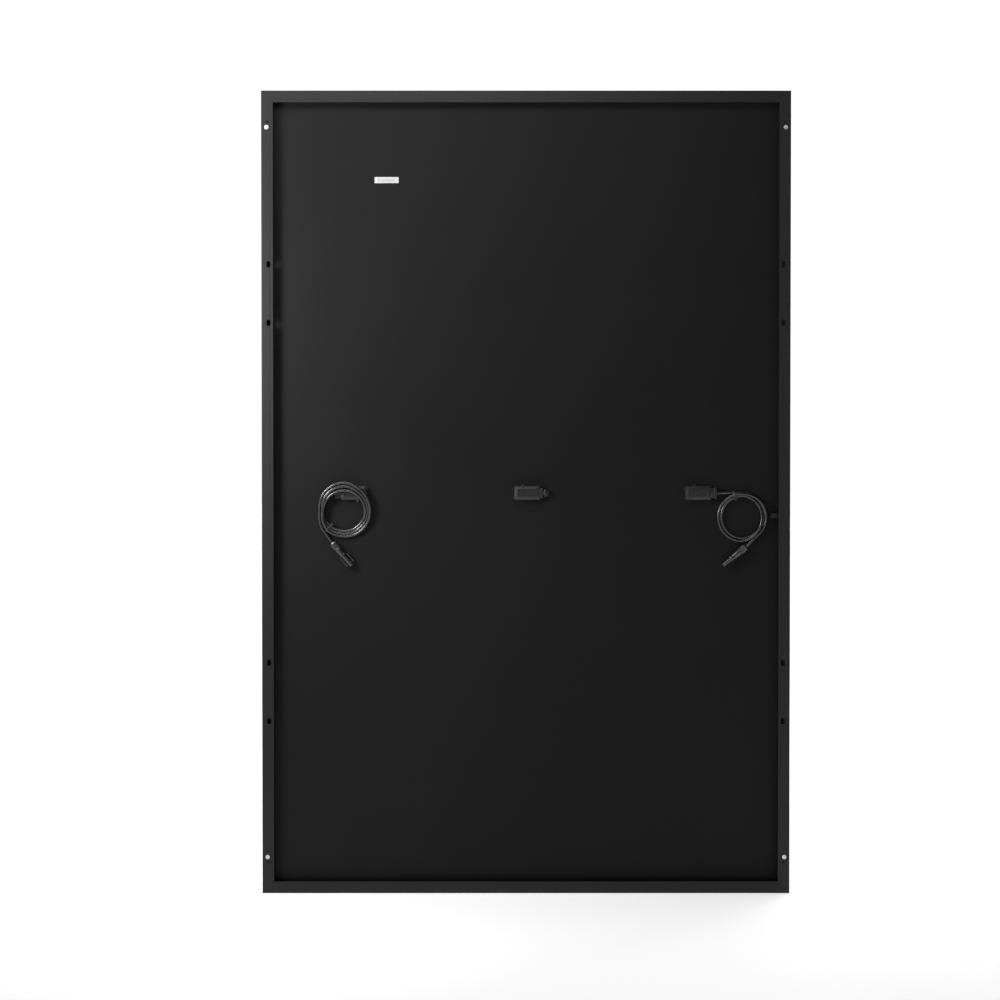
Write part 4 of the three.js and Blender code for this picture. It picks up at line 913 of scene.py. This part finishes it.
def cell_string(pair, half, name):
    """Two columns of half cells, and over them the fine wires and the flat bus at the outer end."""
    middle = (pair - 1) * 2 * COLUMN_PITCH
    cells, wires, bus = Solid(), Solid(), Solid()
    top = MIDDLE_GAP / 2 + ROWS * ROW_PITCH
    for side in (-1, 1):
        x = middle + side * COLUMN_PITCH / 2
        for row in range(ROWS):
            centre = half * (MIDDLE_GAP / 2 + row * ROW_PITCH + CELL_HEIGHT / 2)
            outline = cell_outline(x, centre, half * (-1 if row % 2 else 1))
            cells.loft([[(px, y, pz) for px, pz in outline] for y in (CELL_BACK, CELL_FRONT)])
        for wire in range(WIRES):
            at = x + (wire - (WIRES - 1) / 2) * CELL_WIDTH / WIRES
            section = [
                (at + WIRE_HALF * math.cos(a), CELL_FRONT + 0.02 + WIRE_RISE * math.sin(a))
                for a in (math.pi * i / 3 for i in range(6))
            ]
            ends = sorted((half * WIRE_START, half * (top + WIRE_PAST)))
            wires.loft([[(px, y, z) for px, y in section] for z in ends])
    reach = (COLUMN_PITCH + BUS_PAST) / 2
    low, high = sorted((half * (top + BUS_NEAR), half * (top + BUS_FAR)))
    corners = ((-reach, low), (reach, low), (reach, high), (-reach, high))
    bus.loft([[(middle + px, y, pz) for px, pz in corners] for y in (CELL_BACK + 0.02, CELL_FRONT + 0.04)])
    cells.piece(f"cells_{name}", CELL, slot="cell_silicon", replaces=[f"cell_loop_{name}"])
    wires.piece(f"wires_{name}", RIBBON_WIRE, slot="ribbon")
    bus.piece(f"outer_bus_{name}", BUS_DARK, slot="ribbon")


for column_pair in range(3):
    for direction, word in ((1, "upper"), (-1, "lower")):
        cell_string(column_pair, direction, f"{column_pair + 1}_{word}")

# ---------- label ----------
# Plain bars stand in for the print.

LABEL_LENGTH, LABEL_WIDTH = 51.5, 13.0
LABEL_FRONT = 0.16
BAR_START, BAR_GAP, BAR_HALF = -20.0, 1.6, 0.45
BAR_ROWS = ((2.0, (9, 5, 12, 7)), (-1.2, (6, 11, 4, 10)), (-3.4, (14, 8, 5)))  # (place, the bars' lengths)
label_low, label_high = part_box("serial_label")
label_middle = (label_low + label_high) / 2 / MM
label_frame = Matrix.Translation(Vector((label_middle.x, BACK, label_middle.z)) * MM)
sticker = Solid(label_frame)
sticker.stack([
    (LABEL_LENGTH, LABEL_WIDTH, 1.2, 0.03), (LABEL_LENGTH, LABEL_WIDTH, 1.2, 0.12),
    (LABEL_LENGTH - 0.3, LABEL_WIDTH - 0.3, 1.1, LABEL_FRONT),
])
sticker.piece("label_sheet", PAPER, slot="label", replaces=["serial_label"])
bars = Solid(label_frame)
for row_z, lengths in BAR_ROWS:
    bar_x = BAR_START
    for bar in lengths:
        bars.block(
            bar_x, bar_x + bar, LABEL_FRONT - 0.03, LABEL_FRONT + 0.02, row_z - BAR_HALF, row_z + BAR_HALF, 0.01
        )
        bar_x += bar + BAR_GAP
bars.piece("label_bars", INK, slot="label")

# ---------- ground marks ----------

MARK_FROM_SIDE = 11.4
MARK_FROM_END = 78.1
# (height above the flange, radius) of a bare disc with a raised rim and middle
MARK_PROFILE = [
    (-0.02, 4.6), (0.12, 4.6), (0.24, 4.3), (0.26, 3.6), (0.16, 3.2), (0.16, 1.4), (0.26, 1.1), (0.26, 0.3),
]
for mark, (side, end) in enumerate(((-1, 1), (1, 1), (-1, -1), (1, -1))):
    x, z = side * (HALF_WIDTH - MARK_FROM_SIDE), end * (HALF_LENGTH - MARK_FROM_END)
    disc = Solid(Matrix.Translation(Vector((x, 0, z)) * MM) @ Matrix.Rotation(-math.pi / 2, 4, "Z"))
    disc.turned(MARK_PROFILE, 36)
    disc.piece(f"ground_mark_{mark + 1}", BARE_ALUMINIUM, slot="clip_steel")

# ---------- CAD nodes that stay ----------

# By the start of the node's name, then by its end.
KEPT = {
    "frame_left": FRAME_UPRIGHT, "frame_right": FRAME_UPRIGHT, "frame_top": FRAME_LEVEL,
    "frame_bottom": FRAME_LEVEL, "corner_key": KEY_ALUMINIUM, "edge_seal": SEAL_BLACK, "front_glass": GLASS,
    "front_encapsulant": CLEAR, "rear_encapsulant": CLEAR, "backsheet": FILM, "middle_bus": BUS_DARK,
    "frame_clip": SPRING_STEEL, "plug_right_contact": TINNED_COPPER, "plug_left_contact": TINNED_COPPER,
    "plug_left_latch": PLUG_BLACK,
}
KEPT_ENDS = {"_potting": POTTING, "_diode": TINNED_COPPER}
SOFTENED = ("plug_left_latch", "frame_clip")
SOFT_EDGE = 0.25
for node_name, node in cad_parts.items():
    chosen = [m for start, m in KEPT.items() if node_name.startswith(start)]
    chosen += [m for ending, m in KEPT_ENDS.items() if node_name.endswith(ending)]
    if not chosen:
        continue
    if not node.material_slots:
        node.data.materials.append(chosen[0])
    for material_slot in node.material_slots:
        material_slot.material = chosen[0]
    if node_name.startswith(SOFTENED):
        soften = node.modifiers.new("soften", "BEVEL")
        soften.width = SOFT_EDGE * MM
        soften.segments = 2
        soften.limit_method = "ANGLE"
        soften.angle_limit = math.radians(40)

# ---------- floor and light ----------
# Metres and watts.

FLOOR_REACH = 40.0
FLOOR_DROP = 0.0005  # below the panel's lower edge
WHITE = (1, 1, 1, 1)


def fade_along_y(tree, space, places, strengths, target, interpolation="LINEAR"):
    """Drives a socket from one strength to another between two places along Y."""
    where = tree.nodes.new("ShaderNodeTexCoord")
    split = tree.nodes.new("ShaderNodeSeparateXYZ")
    fade = tree.nodes.new("ShaderNodeMapRange")
    fade.interpolation_type = interpolation
    for setting, value in zip(("From Min", "From Max", "To Min", "To Max"), (*places, *strengths)):
        fade.inputs[setting].default_value = value
    tree.links.new(where.outputs[space], split.inputs["Vector"])
    tree.links.new(split.outputs["Y"], fade.inputs["Value"])
    tree.links.new(fade.outputs["Result"], target)


def white_floor():
    """A floor that glows a little more behind the panel, so that it stays white up to the horizon."""
    look = Look("floor_white", roughness=0.9, specular=0.1)
    look.colour(look.blend(look.noise(0.8, 2.0), grey(0.90), grey(0.93)))
    look.shader.inputs["Emission Color"].default_value = WHITE
    fade_along_y(look.tree, "Object", (-0.9, 1.5), (0.30, 0.72), look.shader.inputs["Emission Strength"])
    return look.material


floor_mesh = bpy.data.meshes.new("floor")
floor_z = PANEL_LOW.z - FLOOR_DROP
floor_corners = ((-1, -1), (1, -1), (1, 1), (-1, 1))
floor_mesh.from_pydata([(FLOOR_REACH * x, FLOOR_REACH * y, floor_z) for x, y in floor_corners], [], [(0, 1, 2, 3)])
floor_mesh.materials.append(white_floor())
floor = bpy.data.objects.new("floor", floor_mesh)
scene.collection.objects.link(floor)


def soft_light(name, place, aim, size, power):
    data = bpy.data.lights.new(name, "AREA")
    data.shape = "RECTANGLE"
    data.size, data.size_y = size
    data.energy = power
    light = bpy.data.objects.new(name, data)
    scene.collection.objects.link(light)
    light.location = place
    light.visible_camera = False
    light.rotation_euler = (Vector(aim) - Vector(place)).to_track_quat("-Z", "Y").to_euler()


soft_light("key_left", (-1.08, -0.60, 0.42), (-0.1, 0.0, 0.0), (0.30, 0.40), 15)
soft_light("top_left", (-0.45, -0.80, 1.25), (-0.15, 0.0, 0.1), (1.3, 0.40), 9.5)
soft_light("front_fill", (1.6, 3.2, 2.4), (0.0, 0.0, 0.0), (2.0, 2.0), 60)  # on the glass side

# The studio is dark behind the camera and bright behind the panel.
world = bpy.data.worlds.new("studio")
scene.world = world
world.use_nodes = True
background = world.node_tree.nodes["Background"]
fade_along_y(
    world.node_tree, "Generated", (-0.05, 0.45), (0.055, 1.05), background.inputs["Strength"], "SMOOTHSTEP"
)
background.inputs["Color"].default_value = WHITE
scene.view_settings.view_transform = "Standard"
